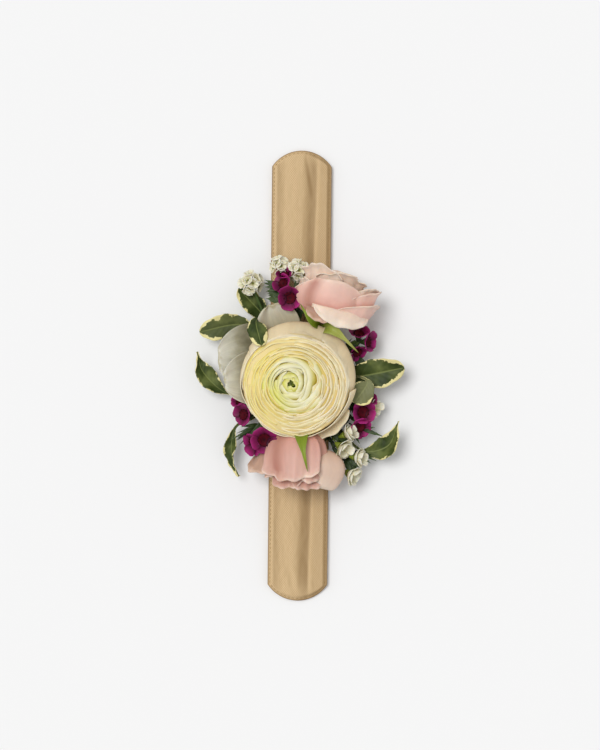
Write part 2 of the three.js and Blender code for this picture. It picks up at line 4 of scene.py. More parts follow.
import bmesh
import bpy
from mathutils import Matrix, Vector, noise
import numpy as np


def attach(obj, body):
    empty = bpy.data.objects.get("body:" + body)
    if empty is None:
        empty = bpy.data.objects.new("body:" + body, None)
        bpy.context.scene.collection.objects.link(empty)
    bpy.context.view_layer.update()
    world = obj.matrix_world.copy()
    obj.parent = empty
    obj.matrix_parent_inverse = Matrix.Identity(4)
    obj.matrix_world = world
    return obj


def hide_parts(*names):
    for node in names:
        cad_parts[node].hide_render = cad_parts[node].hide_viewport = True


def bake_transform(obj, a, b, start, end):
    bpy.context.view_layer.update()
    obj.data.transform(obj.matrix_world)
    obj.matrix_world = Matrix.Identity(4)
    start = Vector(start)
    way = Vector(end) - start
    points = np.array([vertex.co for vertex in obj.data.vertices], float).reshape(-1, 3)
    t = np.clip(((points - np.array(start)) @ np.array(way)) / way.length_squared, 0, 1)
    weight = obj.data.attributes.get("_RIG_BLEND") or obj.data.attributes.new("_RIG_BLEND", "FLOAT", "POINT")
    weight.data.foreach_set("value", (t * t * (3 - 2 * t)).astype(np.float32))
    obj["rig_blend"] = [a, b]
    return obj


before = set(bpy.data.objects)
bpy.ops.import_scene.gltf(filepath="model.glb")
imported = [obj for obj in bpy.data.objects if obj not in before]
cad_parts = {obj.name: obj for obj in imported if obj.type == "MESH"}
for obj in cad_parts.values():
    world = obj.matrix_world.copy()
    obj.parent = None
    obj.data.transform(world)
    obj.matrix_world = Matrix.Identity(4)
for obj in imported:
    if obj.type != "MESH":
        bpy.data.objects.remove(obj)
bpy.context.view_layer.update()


# The table top: a plain pale board under the corsage, seen from straight above.
# A broad soft light from the upper left gives each petal a light and a dark side.
MM = 0.001
table_colour = "#F2F2F2"
table_half_size = 2.5
table_drop = 0.25 * MM
grain_size = 25 * MM
window_strength = 1.75
window_softness = math.radians(26)
window_direction = Vector((0.3, -0.19, -0.93))
room_strength = 0.5
camera_height = 1200 * MM
camera_aim = (0.2 * MM, 0.3 * MM)
seen_height = 383.8 * MM
band_tilt = math.radians(0.64)
white = (1, 1, 1, 1)


def linear(hex_colour):
    """Gives a six-figure hex colour as the shaders take it."""
    steps = [int(hex_colour[i:i + 2], 16) / 255 for i in (1, 3, 5)]
    levels = [s / 12.92 if s <= 0.04045 else ((s + 0.055) / 1.055) ** 2.4 for s in steps]
    return (*levels, 1)


def fill_inputs(node, inputs):
    """Sets each named input of a node, or links it to a socket or to the first output of another node."""
    for name, value in inputs.items():
        if isinstance(value, bpy.types.Node):
            value = next(socket for socket in value.outputs if socket.enabled)
        if isinstance(value, bpy.types.NodeSocket):
            node.id_data.links.new(value, node.inputs[name])
        else:
            node.inputs[name].default_value = value


def add_node(tree, kind, inputs, stops=(), **options):
    """Adds one node with its options and inputs and, for a ramp, the places and hex colours of its stops."""
    node = tree.nodes.new(f"ShaderNode{kind}")
    for option, value in options.items():
        setattr(node, option, value)
    fill_inputs(node, inputs)
    for number, (place, colour) in enumerate(stops):
        elements = node.color_ramp.elements
        stop = elements[number] if number < 2 else elements.new(place)
        stop.position = place
        stop.color = linear(colour)
    return node


def new_material(name):
    """Starts a material and gives it with its node tree and its shader."""
    material = bpy.data.materials.new(name)
    material.use_nodes = True
    return material, material.node_tree, material.node_tree.nodes["Principled BSDF"]


# Matt pale paint: an even ground that hardly shines and keeps near white to the camera.
table, table_tree, table_shader = new_material("painted_table_board")
table_grain = add_node(table_tree, "TexNoise", {"Scale": 1 / grain_size, "Detail": 3.0})
table_spread = add_node(table_tree, "MapRange", {"Value": table_grain, "To Min": 0.93, "To Max": 1.0})
camera_ray = add_node(table_tree, "LightPath", {})
table_lift = add_node(table_tree, "Math", {
    0: camera_ray.outputs["Is Camera Ray"], 1: 0.02}, operation="MULTIPLY")
fill_inputs(table_shader, {
    "Base Color": linear(table_colour), "Roughness": table_spread,
    "Specular IOR Level": 0.1, "Emission Color": white, "Emission Strength": table_lift})

table_bm = bmesh.new()
bmesh.ops.create_grid(table_bm, x_segments=8, y_segments=8, size=table_half_size)
bmesh.ops.translate(table_bm, verts=table_bm.verts, vec=(0, 0, -table_drop))
table_mesh = bpy.data.meshes.new("table_top")
table_bm.to_mesh(table_mesh)
table_bm.free()
table_mesh.materials.append(table)
table_top = bpy.data.objects.new("table_top", table_mesh)
bpy.context.collection.objects.link(table_top)

window_light = bpy.data.lights.new("window_light", "SUN")
window_light.energy = window_strength
window_light.angle = window_softness
window = bpy.data.objects.new("window_light", window_light)
window.rotation_euler = window_direction.to_track_quat("-Z", "Y").to_euler()
bpy.context.collection.objects.link(window)

room = bpy.data.worlds.new("pale_room")
room.use_nodes = True
fill_inputs(room.node_tree.nodes["Background"], {"Color": white, "Strength": room_strength})
bpy.context.scene.world = room
bpy.context.scene.view_settings.view_transform = "Standard"

camera_data = bpy.data.cameras.new("overhead_camera")
camera_data.lens = camera_data.sensor_width * camera_height / seen_height
camera_data.clip_end = 10
camera = bpy.data.objects.new("overhead_camera", camera_data)
camera.location = (*camera_aim, camera_height)
camera.rotation_euler = (0, 0, band_tilt)
bpy.context.collection.objects.link(camera)
bpy.context.scene.camera = camera


# The spring blade: a strip of thin tempered steel that snaps round the wrist.
# It is hidden in the sleeve and jointed into links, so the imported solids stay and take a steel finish.

# Rolled steel: grey metal with fine streaks of gloss along the strip.
streak_width = 0.25 * MM
streak_length = 16.667 * MM
steel, steel_tree, steel_shader = new_material("tempered_spring_steel")
steel_place = add_node(steel_tree, "TexCoord", {})
steel_stretch = add_node(steel_tree, "Mapping", {
    "Vector": steel_place.outputs["Object"],
    "Scale": (1 / streak_width, 1 / streak_length, 1 / streak_width)})
steel_brush = add_node(steel_tree, "TexNoise", {"Vector": steel_stretch, "Scale": 1.0, "Detail": 4.0})
steel_gloss = add_node(steel_tree, "MapRange", {"Value": steel_brush, "To Min": 0.28, "To Max": 0.46})
fill_inputs(steel_shader, {
    "Base Color": linear("#B9BDC1"), "Metallic": 1.0, "Roughness": steel_gloss})


def refinish(node_name, material):
    """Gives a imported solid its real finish."""
    solid = bpy.data.objects[node_name]
    solid.data.materials.clear()
    solid.data.materials.append(material)


for node_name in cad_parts:
    if node_name.startswith("blade_"):
        refinish(node_name, steel)


# The sleeve: two strips of gold satin-weave cloth sewn round the blade, with rounded ends.
# The cloth is slack across the front, so a long valley runs down it and small folds pull from its ends.
band_length = 230
band_width = 30.4
end_rise = 8.4
half_band = band_width / 2
core_length = 24
links_per_tail = 6
link_pitch = (band_length / 2 - core_length / 2) / links_per_tail
end_radius = (half_band ** 2 + end_rise ** 2) / (2 * end_rise)
tails = {"upper": 1, "lower": -1}
flat_half = 8
edge_rise = 1.6
seam_thickness = 1.15
slack_height = 1.55
valley_depth = 1.3
deepest = 1.25
# Each fold: how deep it is, where it starts and finishes on the band, and how wide it is.
pull_folds = [
    (0.75, (2.6, 112), (6.6, 92), 1.5),
    (0.5, (9.5, 108), (11.8, 100), 1.1),
    (0.35, (5.6, 110), (7.6, 101), 0.9),
    (0.45, (3.2, -90), (9.5, -108), 1.6),
    (0.3, (-4.5, -98), (-1.5, -111), 1.6),
]
cloth_light = "#DDC094"
cloth_middle = "#CFB184"
cloth_dark = "#BD9B68"
# Dark brown of the sleeve's edges, also used as painted shade in the valley and on slopes facing away from
# the light.
cloth_edge_and_shade = "#80602F"


def smooth_step(low, high, value):
    """Rises softly from 0 at low to 1 at high."""
    share = min(1, max(0, (value - low) / (high - low)))
    return share * share * (3 - 2 * share)


def underside_height(x):
    """The sleeve's back: flat in the middle, and curling up a little towards both edges."""
    return edge_rise * (max(0, abs(x) - flat_half) / (half_band - flat_half)) ** 2


def tail_end(x):
    """How far a tail reaches at this place across the band: its end is an arc."""
    return band_length / 2 - end_radius + math.sqrt(end_radius ** 2 - x * x)


def fold(x, y, start, finish, width):
    """A soft furrow along the line from start to finish, deepest halfway along it."""
    run = Vector(finish) - Vector(start)
    offset = Vector((x, y)) - Vector(start)
    share = min(1, max(0, offset.dot(run) / run.length_squared))
    away = (offset - run * share).length / width
    return math.exp(-away * away) * (0.35 + 0.65 * math.sin(math.pi * share))


def valley_line(y):
    """Where the valley's foot lies across the band: it wanders a little along the tails."""
    return 6.3 + 0.7 * math.tanh(y / 40) + 0.5 * math.sin(y / 13)


def front_height(x, y):
    """The sleeve's front: two low swells with the valley between them, and the pull folds at the ends."""
    rim = min(half_band - abs(x), tail_end(x) - abs(y))
    body = smooth_step(0, 2.8, rim)
    away = (x - valley_line(y)) / (4.4 if x < valley_line(y) else 1.8)
    valley = valley_depth * math.exp(-away * away) * smooth_step(2, 16, tail_end(x) - abs(y))
    pulls = sum(depth * fold(x, y, start, finish, width) for depth, start, finish, width in pull_folds)
    ripple = 0.16 * noise.noise(Vector((x / 4.5, y / 26, 3.1)))
    ripple += 0.07 * noise.noise(Vector((x / 2, y / 5, 8.2)))
    seam = 0.16 * math.exp(-((rim - 1.2) / 0.5) ** 2)
    sunk = deepest * math.tanh((valley + pulls) / deepest)
    return underside_height(x) + seam_thickness + body * (slack_height - sunk + ripple) - seam


# Woven satin: its UV map is in millimetres, and threads about 1.2 mm apart, coarser than real ones so that
# they show, give the eye a fine grain and a dull sheen.
warp_pitch = 1.122
weft_pitch = 1.366
slub_width = 0.625
slub_length = 3.333
cloth, cloth_tree, cloth_shader = new_material("gold_satin_cloth")
cloth_place = add_node(cloth_tree, "UVMap", {}, uv_map="UVMap")
cloth_axes = add_node(cloth_tree, "SeparateXYZ", {"Vector": cloth_place})
warp_turn = add_node(cloth_tree, "Math", {
    0: cloth_axes.outputs["X"], 1: math.tau / warp_pitch}, operation="MULTIPLY")
weft_turn = add_node(cloth_tree, "Math", {
    0: cloth_axes.outputs["Y"], 1: math.tau / weft_pitch}, operation="MULTIPLY")
warp = add_node(cloth_tree, "Math", {0: warp_turn}, operation="SINE")
weft = add_node(cloth_tree, "Math", {0: weft_turn}, operation="SINE")
weave = add_node(cloth_tree, "Math", {0: warp, 1: weft}, operation="MULTIPLY")
slub_stretch = add_node(cloth_tree, "Mapping", {
    "Vector": cloth_place, "Scale": (1 / slub_width, 1 / slub_length, 1)})
slub = add_node(cloth_tree, "TexNoise", {"Vector": slub_stretch, "Scale": 1.0, "Detail": 3.0})
slub_soft = add_node(cloth_tree, "MapRange", {"Value": slub, "To Min": 0.36, "To Max": 0.64})
cloth_mix = add_node(cloth_tree, "Math", {0: weave, 1: 0.2, 2: slub_soft}, operation="MULTIPLY_ADD")
cloth_colour = add_node(cloth_tree, "ValToRGB", {"Fac": cloth_mix}, [
    (0.25, cloth_dark), (0.5, cloth_middle), (0.75, cloth_light)])
# The tone mixes in the dark brown: painted shade in the valley and on slopes facing away from the light, and
# darker edges.
cloth_shade_and_edge_tone = add_node(cloth_tree, "Attribute", {}, attribute_name="tone")
cloth_shaded_and_edged = add_node(cloth_tree, "Mix", {
    "Factor": cloth_shade_and_edge_tone.outputs["Fac"], "A": cloth_colour, "B": linear(cloth_edge_and_shade)}, data_type="RGBA")
cloth_bump = add_node(cloth_tree, "Bump", {"Height": weave, "Strength": 0.4, "Distance": 0.1 * MM})
fill_inputs(cloth_shader, {
    "Base Color": cloth_shaded_and_edged, "Normal": cloth_bump,
    "Roughness": 0.62, "Sheen Weight": 0.25, "Sheen Roughness": 0.4})


def new_shape():
    """Starts a mesh with a UV map and a tone, the number that shades one petal from the next."""
    bm = bmesh.new()
    bm.loops.layers.uv.new("UVMap")
    bm.verts.layers.float.new("tone")
    return bm


def settle(bm, name, material, nodes=(), thickness=0.0, body="core"):
    """Makes the mesh a piece, gives it its material and thickness, and fixes it to its body."""
    bmesh.ops.remove_doubles(bm, verts=bm.verts, dist=0.002 * MM)
    bmesh.ops.recalc_face_normals(bm, faces=bm.faces)
    mesh = bpy.data.meshes.new(name)
    bm.to_mesh(mesh)
    bm.free()
    mesh.shade_smooth()
    mesh.materials.append(material)
    piece = bpy.data.objects.new(name, mesh)
    bpy.context.collection.objects.link(piece)
    if thickness:
        wall = piece.modifiers.new("thickness", "SOLIDIFY")
        wall.thickness = thickness * MM
        wall.offset = 0
    if body:
        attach(piece, body)
    if nodes:
        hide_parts(*nodes)
    return piece


def sleeve_length(start, finish, way):
    """One length of sleeve from start to finish along a tail; finish None takes it to the rounded end."""
    bm = new_shape()
    tones = bm.verts.layers.float["tone"]
    places = bm.loops.layers.uv["UVMap"]
    rows = 18 if finish else 26
    made = bmesh.ops.create_grid(bm, x_segments=56, y_segments=rows, size=1)
    for vert in made["verts"]:
        x = vert.co.x * half_band
        share = (vert.co.y + 1) / 2
        far = finish if finish else tail_end(x)
        y = way * (start + (far - start) * share)
        vert.co = Vector((x, y, front_height(x, y))) * MM
    grown = bmesh.ops.extrude_face_region(bm, geom=bm.faces[:])["geom"]
    for part in grown:
        if isinstance(part, bmesh.types.BMVert):
            part.co.z = underside_height(part.co.x / MM) * MM
    bmesh.ops.recalc_face_normals(bm, faces=bm.faces)
    # The tone darkens the cloth with painted shade on slopes that fall away from the light on the left, and
    # with a painted shade streak on the valley's left wall. It is also darker right of the valley and at the
    # very edge.
    for vert in bm.verts:
        x, y = vert.co.x / MM, vert.co.y / MM
        rim = min(half_band - abs(x), tail_end(min(half_band, abs(x))) - abs(y))
        slope = front_height(x - 0.4, y) - front_height(x + 0.4, y) if rim > 0.5 else 0
        inside = x - valley_line(y)
        painted_valley_shade = smooth_step(-7, -0.6, inside) * (1 - smooth_step(-0.4, 1.0, inside))
        painted_valley_shade = painted_valley_shade * smooth_step(3, 20, rim + 14 - x)
        right_of_valley_darkening = 0.24 * smooth_step(0.6, 3, inside)
        edge = 0.85 * (1 - smooth_step(0.1, 0.9, rim))
        vert[tones] = min(1, edge + 0.6 * painted_valley_shade + right_of_valley_darkening + 0.4 * min(1, max(0, 3.2 * slope)))
    for face in bm.faces:
        for loop in face.loops:
            loop[places].uv = (loop.vert.co.x / MM, loop.vert.co.y / MM)
    for edge in bm.edges:
        if edge.calc_face_angle(0) > 1.0:
            edge.smooth = False
    return bm


def hinge_span(link):
    """The middles of the links before and after a hinge, along the tail."""
    hinge = core_length / 2 + (link - 1) * link_pitch
    return hinge - link_pitch / 2, hinge + link_pitch / 2


def bend_over_hinge(piece, side, link):
    """Bends a piece in a smooth curve over one hinge, from the middle of a link to that of the next."""
    before, after = hinge_span(link)
    inner_body = "core" if link == 1 else f"{side}_link_{link - 1}"
    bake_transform(piece, inner_body, f"{side}_link_{link}",
             start=(0, tails[side] * before * MM, 0.5 * MM),
             end=(0, tails[side] * after * MM, 0.5 * MM))


def lay_along_tails(name, make_length, material, covered):
    """Lays lengths down both tails, each bent over one hinge, and a last one that ends on the last link.

    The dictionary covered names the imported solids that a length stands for, by its tail and its link.
    """
    for side, way in tails.items():
        for link in range(1, links_per_tail + 1):
            before, after = hinge_span(link)
            length = make_length(before if link > 1 else 0, after, way)
            nodes = covered.get((side, link), ())
            piece = settle(length, f"{name}_{side}_{link}", material, nodes, body=None)
            bend_over_hinge(piece, side, link)
        last = make_length(after, None, way)
        settle(last, f"{name}_{side}_end", material, body=f"{side}_link_{links_per_tail}")


sleeve_nodes = {
    (side, link): [f"sleeve_{side}_{link}"] for side in tails for link in range(1, links_per_tail + 1)}
sleeve_nodes["upper", 1].append("sleeve_core")
lay_along_tails("cloth_sleeve", sleeve_length, cloth, sleeve_nodes)


# The stitching: one line of gold thread close to the edge all the way round, which closes the sleeve.
# Each stitch is a short raised bar of twisted thread, on the front and on the back.
stitch_inset = 1.2
stitch_pitch = 2.1
stitch_length = 1.45
stitch_lift = 0.04
thread_half_width = 0.2
thread_half_height = 0.15

# Twisted thread: slanting bands of a dark and a light gold, a little glossier than the cloth.
# A wave texture turns ten times as fast as its scale says along a diagonal.
twist_pitch = 0.698 * MM
thread, thread_tree, thread_shader = new_material("gold_sewing_thread")
thread_place = add_node(thread_tree, "TexCoord", {})
thread_twist = add_node(thread_tree, "TexWave", {
    "Vector": thread_place.outputs["Object"], "Scale": math.tau / (10 * twist_pitch), "Distortion": 1.0},
    wave_type="BANDS", bands_direction="DIAGONAL")
thread_colour = add_node(thread_tree, "ValToRGB", {"Fac": thread_twist.outputs["Fac"]}, [
    (0.0, "#7E5F34"), (1.0, "#B08B55")])
fill_inputs(thread_shader, {"Base Color": thread_colour, "Roughness": 0.55})


def add_stitch(bm, x, y, turn):
    """Lays one stitch on the front and its fellow on the back."""
    for height in (front_height(x, y), underside_height(x)):
        lay = Matrix.Translation(Vector((x, y, height + stitch_lift)) * MM) @ Matrix.Rotation(turn, 4, "Z")
        size = Vector((thread_half_width, stitch_length / 2, thread_half_height)) * MM
        lay = lay @ Matrix.Diagonal((*size, 1))
        bmesh.ops.create_uvsphere(bm, u_segments=6, v_segments=5, radius=1, matrix=lay)


def stitches_along(start, finish, way):
    """The stitches of one length of sleeve, down both its edges; finish None takes them round the end."""
    if finish is None:
        return stitches_round_end(start, way)
    bm = new_shape()
    count = max(1, round((finish - start) / stitch_pitch))
    step = (finish - start) / count
    for number in range(count):
        for edge in (-1, 1):
            y = way * (start + (number + 0.5) * step)
            add_stitch(bm, edge * (half_band - stitch_inset), y, 0)
    return bm


def stitches_round_end(start, way):
    """The stitches of a tail's end: down both edges to the shoulders, then round the arc."""
    shoulder = tail_end(half_band)
    bm = stitches_along(start - stitch_pitch, shoulder - 0.4, way)
    reach = math.asin((half_band - stitch_inset) / end_radius)
    inner = end_radius - stitch_inset
    count = round(2 * reach * inner / stitch_pitch)
    centre = band_length / 2 - end_radius
    for number in range(count + 1):
        angle = -reach + 2 * reach * number / count
        x = inner * math.sin(angle)
        y = way * (centre + inner * math.cos(angle))
        add_stitch(bm, x, y, math.pi / 2 - way * angle)
    return bm


lay_along_tails("stitching", stitches_along, thread, covered={})


# The glue pad: a poured patch of clear yellowish florist's glue between the band and the stems.
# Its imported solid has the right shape, so it stays and takes the look of set glue.

# Set glue: a cloudy yellowish skin, glossy and a little lumpy.
lump_size = 3.846 * MM
glue, glue_tree, glue_shader = new_material("set_florist_glue")
glue_place = add_node(glue_tree, "TexCoord", {})
glue_cloud = add_node(glue_tree, "TexNoise", {
    "Vector": glue_place.outputs["Object"], "Scale": 1 / lump_size, "Detail": 3.0})
glue_colour = add_node(glue_tree, "ValToRGB", {"Fac": glue_cloud}, [
    (0.3, "#B9B08C"), (0.7, "#D8D2B4")])
glue_bump = add_node(glue_tree, "Bump", {"Height": glue_cloud, "Strength": 0.6, "Distance": 0.5 * MM})
fill_inputs(glue_shader, {"Base Color": glue_colour, "Normal": glue_bump, "Roughness": 0.25})
refinish("glue_pad", glue)


# The leaves: sprays of small variegated foliage, dark green with a crinkled cream margin.
# Each grows on its own thin stalk from the glue pad out under the flowers, and some twist over.
seat_height = 5.85
stalk_half_width = 0.6
leaf_thickness = 0.32


def curve_point(points, share):
    """A point on the smooth curve through the given points, and the curve's direction there."""
    spans = len(points) - 1
    span = min(spans - 1, int(share * spans))
    t = share * spans - span
    p1, p2 = Vector(points[span]), Vector(points[span + 1])
    p0 = Vector(points[span - 1]) if span > 0 else p1 * 2 - p2
    p3 = Vector(points[span + 2]) if span + 2 <= spans else p2 * 2 - p1
    place = 0.5 * (2 * p1 + (p2 - p0) * t + (2 * p0 - 5 * p1 + 4 * p2 - p3) * t * t
                   + (3 * p1 - p0 - 3 * p2 + p3) * t ** 3)
    heading = 0.5 * ((p2 - p0) + 2 * (2 * p0 - 5 * p1 + 4 * p2 - p3) * t
                     + 3 * (3 * p1 - p0 - 3 * p2 + p3) * t * t)
    return place, heading.normalized()


def spine_frame(points, share, roll=0.0):
    """A point on a blade's spine, the way across the blade there and the way up from it, turned by roll."""
    place, heading = curve_point(points, share)
    side = Matrix.Rotation(roll, 3, heading) @ heading.cross(Vector((0, 0, 1))).normalized()
    return place, side, side.cross(heading)


def add_petal(bm, columns, rows, shape, tone):
    """Adds a grid and puts each point where shape(u, v) says: u across from -1 to 1, v from foot to tip.

    The tone is one number for the whole petal, or a function of u.
    """
    tones = bm.verts.layers.float["tone"]
    made = bmesh.ops.create_grid(bm, x_segments=columns, y_segments=rows, size=1, calc_uvs=True)
    for vert in made["verts"]:
        u = vert.co.x
        v = (vert.co.y + 1) / 2
        vert.co = shape(u, v) * MM
        vert[tones] = tone(u) if callable(tone) else tone


def leaf_width(share, stalk, half_width, widest):
    """Half the width of a leaf: a thin stalk, then a blade widest at the given share, blunt or drawn out."""
    if share < stalk:
        return stalk_half_width
    along = (share - stalk) / (1 - stalk)
    if along < widest:
        swell = math.sin(math.pi / 2 * along / widest) ** 1.25
        return stalk_half_width + (half_width - stalk_half_width) * swell
    beyond = (along - widest) / (1 - widest)
    if widest > 0.5:
        return max(0.3, half_width * math.sqrt(max(0.0, 1 - (0.99 * beyond) ** 2)))
    return max(0.3, half_width * math.cos(math.pi / 2 * min(1, beyond)) ** 1.4)


def leaf_shape(points, stalk, half_width, cup, twist, wave, widest, seed):
    """The shape of one leaf along its spine: cupped across, waved at its margin and turned by twist."""
    def shape(u, v):
        place, side, lift = spine_frame(points, v, math.radians(twist) * smooth_step(stalk, 1, v))
        blade = smooth_step(stalk, stalk + 0.2, v)
        width = leaf_width(v, stalk, half_width, widest)
        margin = 1 + 0.14 * blade * noise.noise(Vector((v * 16, math.copysign(3, u), seed))) * abs(u)
        ripple = wave * blade * u * u * math.sin(v * 23 + seed + (1.9 if u > 0 else 0))
        ripple += 0.5 * wave * blade * abs(u) ** 3 * math.sin(v * 51 + 2.3 * seed + (0.8 if u > 0 else 0))
        crease = -0.12 * width * blade * (1 - abs(u)) ** 4
        return place + side * u * width * margin + lift * (cup * width * u * u + ripple + crease)
    return shape


# A waxy leaf skin: blotched greens, a pale rib, fine slanting veins and a ragged cream margin.
rib_green = "#87904F"
underside_green = "#9A9A70"
margin_cream = "#EADFA0"
blotch_size = 3.846 * MM
patch_size = 8.333 * MM
veins_along_leaf = 19.1
leaf, leaf_tree, leaf_shader = new_material("variegated_leaf")
leaf_place = add_node(leaf_tree, "UVMap", {}, uv_map="UVMap")
leaf_axes = add_node(leaf_tree, "SeparateXYZ", {"Vector": leaf_place})
leaf_off = add_node(leaf_tree, "Math", {0: leaf_axes.outputs["X"], 1: 0.5}, operation="SUBTRACT")
leaf_across = add_node(leaf_tree, "Math", {0: leaf_off}, operation="ABSOLUTE")
leaf_object = add_node(leaf_tree, "TexCoord", {})
leaf_blotch = add_node(leaf_tree, "TexNoise", {
    "Vector": leaf_object.outputs["Object"], "Scale": 1 / blotch_size, "Detail": 4.0, "Roughness": 0.6})
leaf_ragged = add_node(leaf_tree, "Math", {
    0: leaf_blotch, 1: 0.7, 2: leaf_across}, operation="MULTIPLY_ADD")
leaf_tip = add_node(leaf_tree, "MapRange", {
    "Value": leaf_axes.outputs["Y"], "From Min": 0.8, "From Max": 1.0, "To Min": 0.0, "To Max": 0.24})
leaf_tipped = add_node(leaf_tree, "Math", {0: leaf_ragged, 1: leaf_tip}, operation="ADD")
leaf_margin = add_node(leaf_tree, "MapRange", {"Value": leaf_tipped, "From Min": 0.81, "From Max": 0.84})
leaf_patch = add_node(leaf_tree, "TexNoise", {
    "Vector": leaf_object.outputs["Object"], "Scale": 1 / patch_size, "Detail": 2.0})
leaf_green = add_node(leaf_tree, "ValToRGB", {"Fac": leaf_patch}, [
    (0.3, "#263110"), (0.44, "#37451A"), (0.56, "#4A5526"), (0.7, "#66703A")])
leaf_rib = add_node(leaf_tree, "MapRange", {
    "Value": leaf_across, "From Min": 0.012, "From Max": 0.04, "To Min": 0.55, "To Max": 0.0})
leaf_ribbed = add_node(leaf_tree, "Mix", {
    "Factor": leaf_rib, "A": leaf_green, "B": linear(rib_green)}, data_type="RGBA")
leaf_tone = add_node(leaf_tree, "Attribute", {}, attribute_name="tone")
leaf_bloomed = add_node(leaf_tree, "Mix", {
    "Factor": leaf_tone.outputs["Fac"], "A": leaf_ribbed, "B": linear(underside_green)}, data_type="RGBA")
leaf_edged = add_node(leaf_tree, "Mix", {
    "Factor": leaf_margin, "A": leaf_bloomed, "B": linear(margin_cream)}, data_type="RGBA")
leaf_slant = add_node(leaf_tree, "Math", {
    0: leaf_across, 1: -0.22, 2: leaf_axes.outputs["Y"]}, operation="MULTIPLY_ADD")
leaf_comb = add_node(leaf_tree, "Math", {
    0: leaf_slant, 1: math.tau * veins_along_leaf}, operation="MULTIPLY")
leaf_vein = add_node(leaf_tree, "Math", {0: leaf_comb}, operation="SINE")
leaf_bump = add_node(leaf_tree, "Bump", {"Height": leaf_vein, "Strength": 0.25, "Distance": 0.15 * MM})
fill_inputs(leaf_shader, {
    "Base Color": leaf_edged, "Normal": leaf_bump, "Roughness": 0.5, "Specular IOR Level": 0.22})

# Spines are measured from the top of the pad; stalk and widest are shares of a leaf's length.
leaf_spines = {
    "left_upper": {
        "spine": [(-9.5, 7, 0.5), (-20, 20, 2.5), (-31, 25.5, 5), (-50.8, 21.5, 8)],
        "stalk": 0.46, "half_width": 6.2, "cup": 0.15, "twist": -14, "wave": 0.8, "widest": 0.66,
        "pale": 0.14},
    "left_lower": {
        "spine": [(-9.5, -4, 0.5), (-26, -10, 1.5), (-38.5, -8.5, 3), (-49, 1.5, 5), (-52, 11.5, 6)],
        "stalk": 0.46, "half_width": 4.9, "cup": 0.3, "twist": 34, "wave": 0.9, "widest": 0.42},
    "over_petal": {
        "spine": [(-4, 9.5, 0.5), (-15, 26, 5), (-22, 27.4, 19), (-19.2, 14.8, 26.5)],
        "stalk": 0.58, "half_width": 4.8, "cup": -0.3, "twist": 0, "wave": 0.4, "widest": 0.55},
    "behind_filler": {
        "spine": [(-7, 10, 0.5), (-16, 27, -0.8), (-31.5, 44, 3)],
        "stalk": 0.48, "half_width": 5.4, "cup": 0.2, "twist": 10, "wave": 0.8, "widest": 0.58},
    "lower_left": {
        "spine": [(-8, -10, 0.5), (-22, -21, 2), (-32.5, -27, 4), (-34, -42, 4), (-30.2, -51.5, 3)],
        "stalk": 0.5, "half_width": 3.6, "cup": 0.5, "twist": 95, "wave": 0.9, "widest": 0.45},
    "right": {
        "spine": [(9.5, 1.5, 0.5), (20, 2, 4), (30, 0, 8), (52.8, 4.5, 10)],
        "stalk": 0.42, "half_width": 7.4, "cup": 0.15, "twist": 8, "wave": 1.3, "widest": 0.66},
    "right_folded": {
        "spine": [(9.5, -3, 0.5), (22, 0, 6), (34, -2.2, 14.5), (27.8, -13.6, 14.5)],
        "stalk": 0.64, "half_width": 6.2, "cup": 0.25, "twist": 0, "wave": 1.0, "widest": 0.62, "pale": 0.5},
    "right_lower": {
        "spine": [(8, -9.5, 0.5), (20, -26, 1.5), (32, -37.5, 4), (45, -35, 7), (50.2, -22.5, 9)],
        "stalk": 0.5, "half_width": 5.6, "cup": 0.3, "twist": -34, "wave": 1.0, "widest": 0.44},
}
for seed, (name, form) in enumerate(leaf_spines.items()):
    raised = [(x, y, z + seat_height) for x, y, z in form.pop("spine")]
    pale = form.pop("pale", 0.0)
    blade = new_shape()
    add_petal(blade, 16, 64, leaf_shape(raised, seed=seed, **form), pale)
    settle(blade, f"variegated_leaf_{name}", leaf, [f"leaf_{name}"], thickness=leaf_thickness)


# The sprigs: waxflowers and small white filler flowers on wiry green stems from the glue pad.
# A waxflower has five broad waxy petals round a dark cup ringed with stamens, and needle leaves below it.
# Cup and calyx are drawn for a flower of the given reach, from its middle to the tips of its petals.
cup_profile = [(0.0, -0.7), (1.2, -0.6), (2.1, 0.1), (2.6, 0.8), (2.2, 0.9), (1.2, 0.1), (0.0, -0.05)]
calyx_profile = [(0.0, -4.2), (0.8, -4.0), (1.3, -2.6), (2.1, -0.9), (1.9, -0.7), (0.0, -0.75)]
cup_reach = 5.0
calyx_reach = 5.8
calyx_depth = 3.6
stem_start = seat_height + 1.1
needle_floor = seat_height + 1.5
wax_petal_share = 0.56
stamen_ring = 2.35
stamen_rise = 1.05
stamen_radius = 0.34
wax_thickness = 0.3


def spoke(facing, angle):
    """The way straight out from a line, at the given angle round it."""
    over = facing.orthogonal().normalized()
    return over * math.cos(angle) + facing.cross(over) * math.sin(angle)


def add_bead(bm, place, radius):
    """Adds a small round bead, such as the tip of a stamen."""
    bmesh.ops.create_icosphere(bm, subdivisions=1, radius=radius * MM, matrix=Matrix.Translation(place * MM))


def turned_shape(place, across, way, profile):
    """A round form about a line: the profile gives radius and distance along it, and across widens it."""
    way = Vector(way).normalized()

    def shape(u, v):
        r, along = curve_point(profile, v)[0]
        return Vector(place) + spoke(way, math.pi * u) * r * across + way * along
    return shape


def stem_shape(points, thick, thin):
    """A round stem along a curve, closed at both ends."""
    def shape(u, v):
        place, heading = curve_point(points, v)
        over = heading.cross(Vector((0.3, 0.2, 1))).normalized()
        beside = heading.cross(over)
        radius = (thick + (thin - thick) * v) * min(1, 12 * v, 12 * (1 - v))
        angle = math.pi * u
        return place + (over * math.cos(angle) + beside * math.sin(angle)) * radius
    return shape


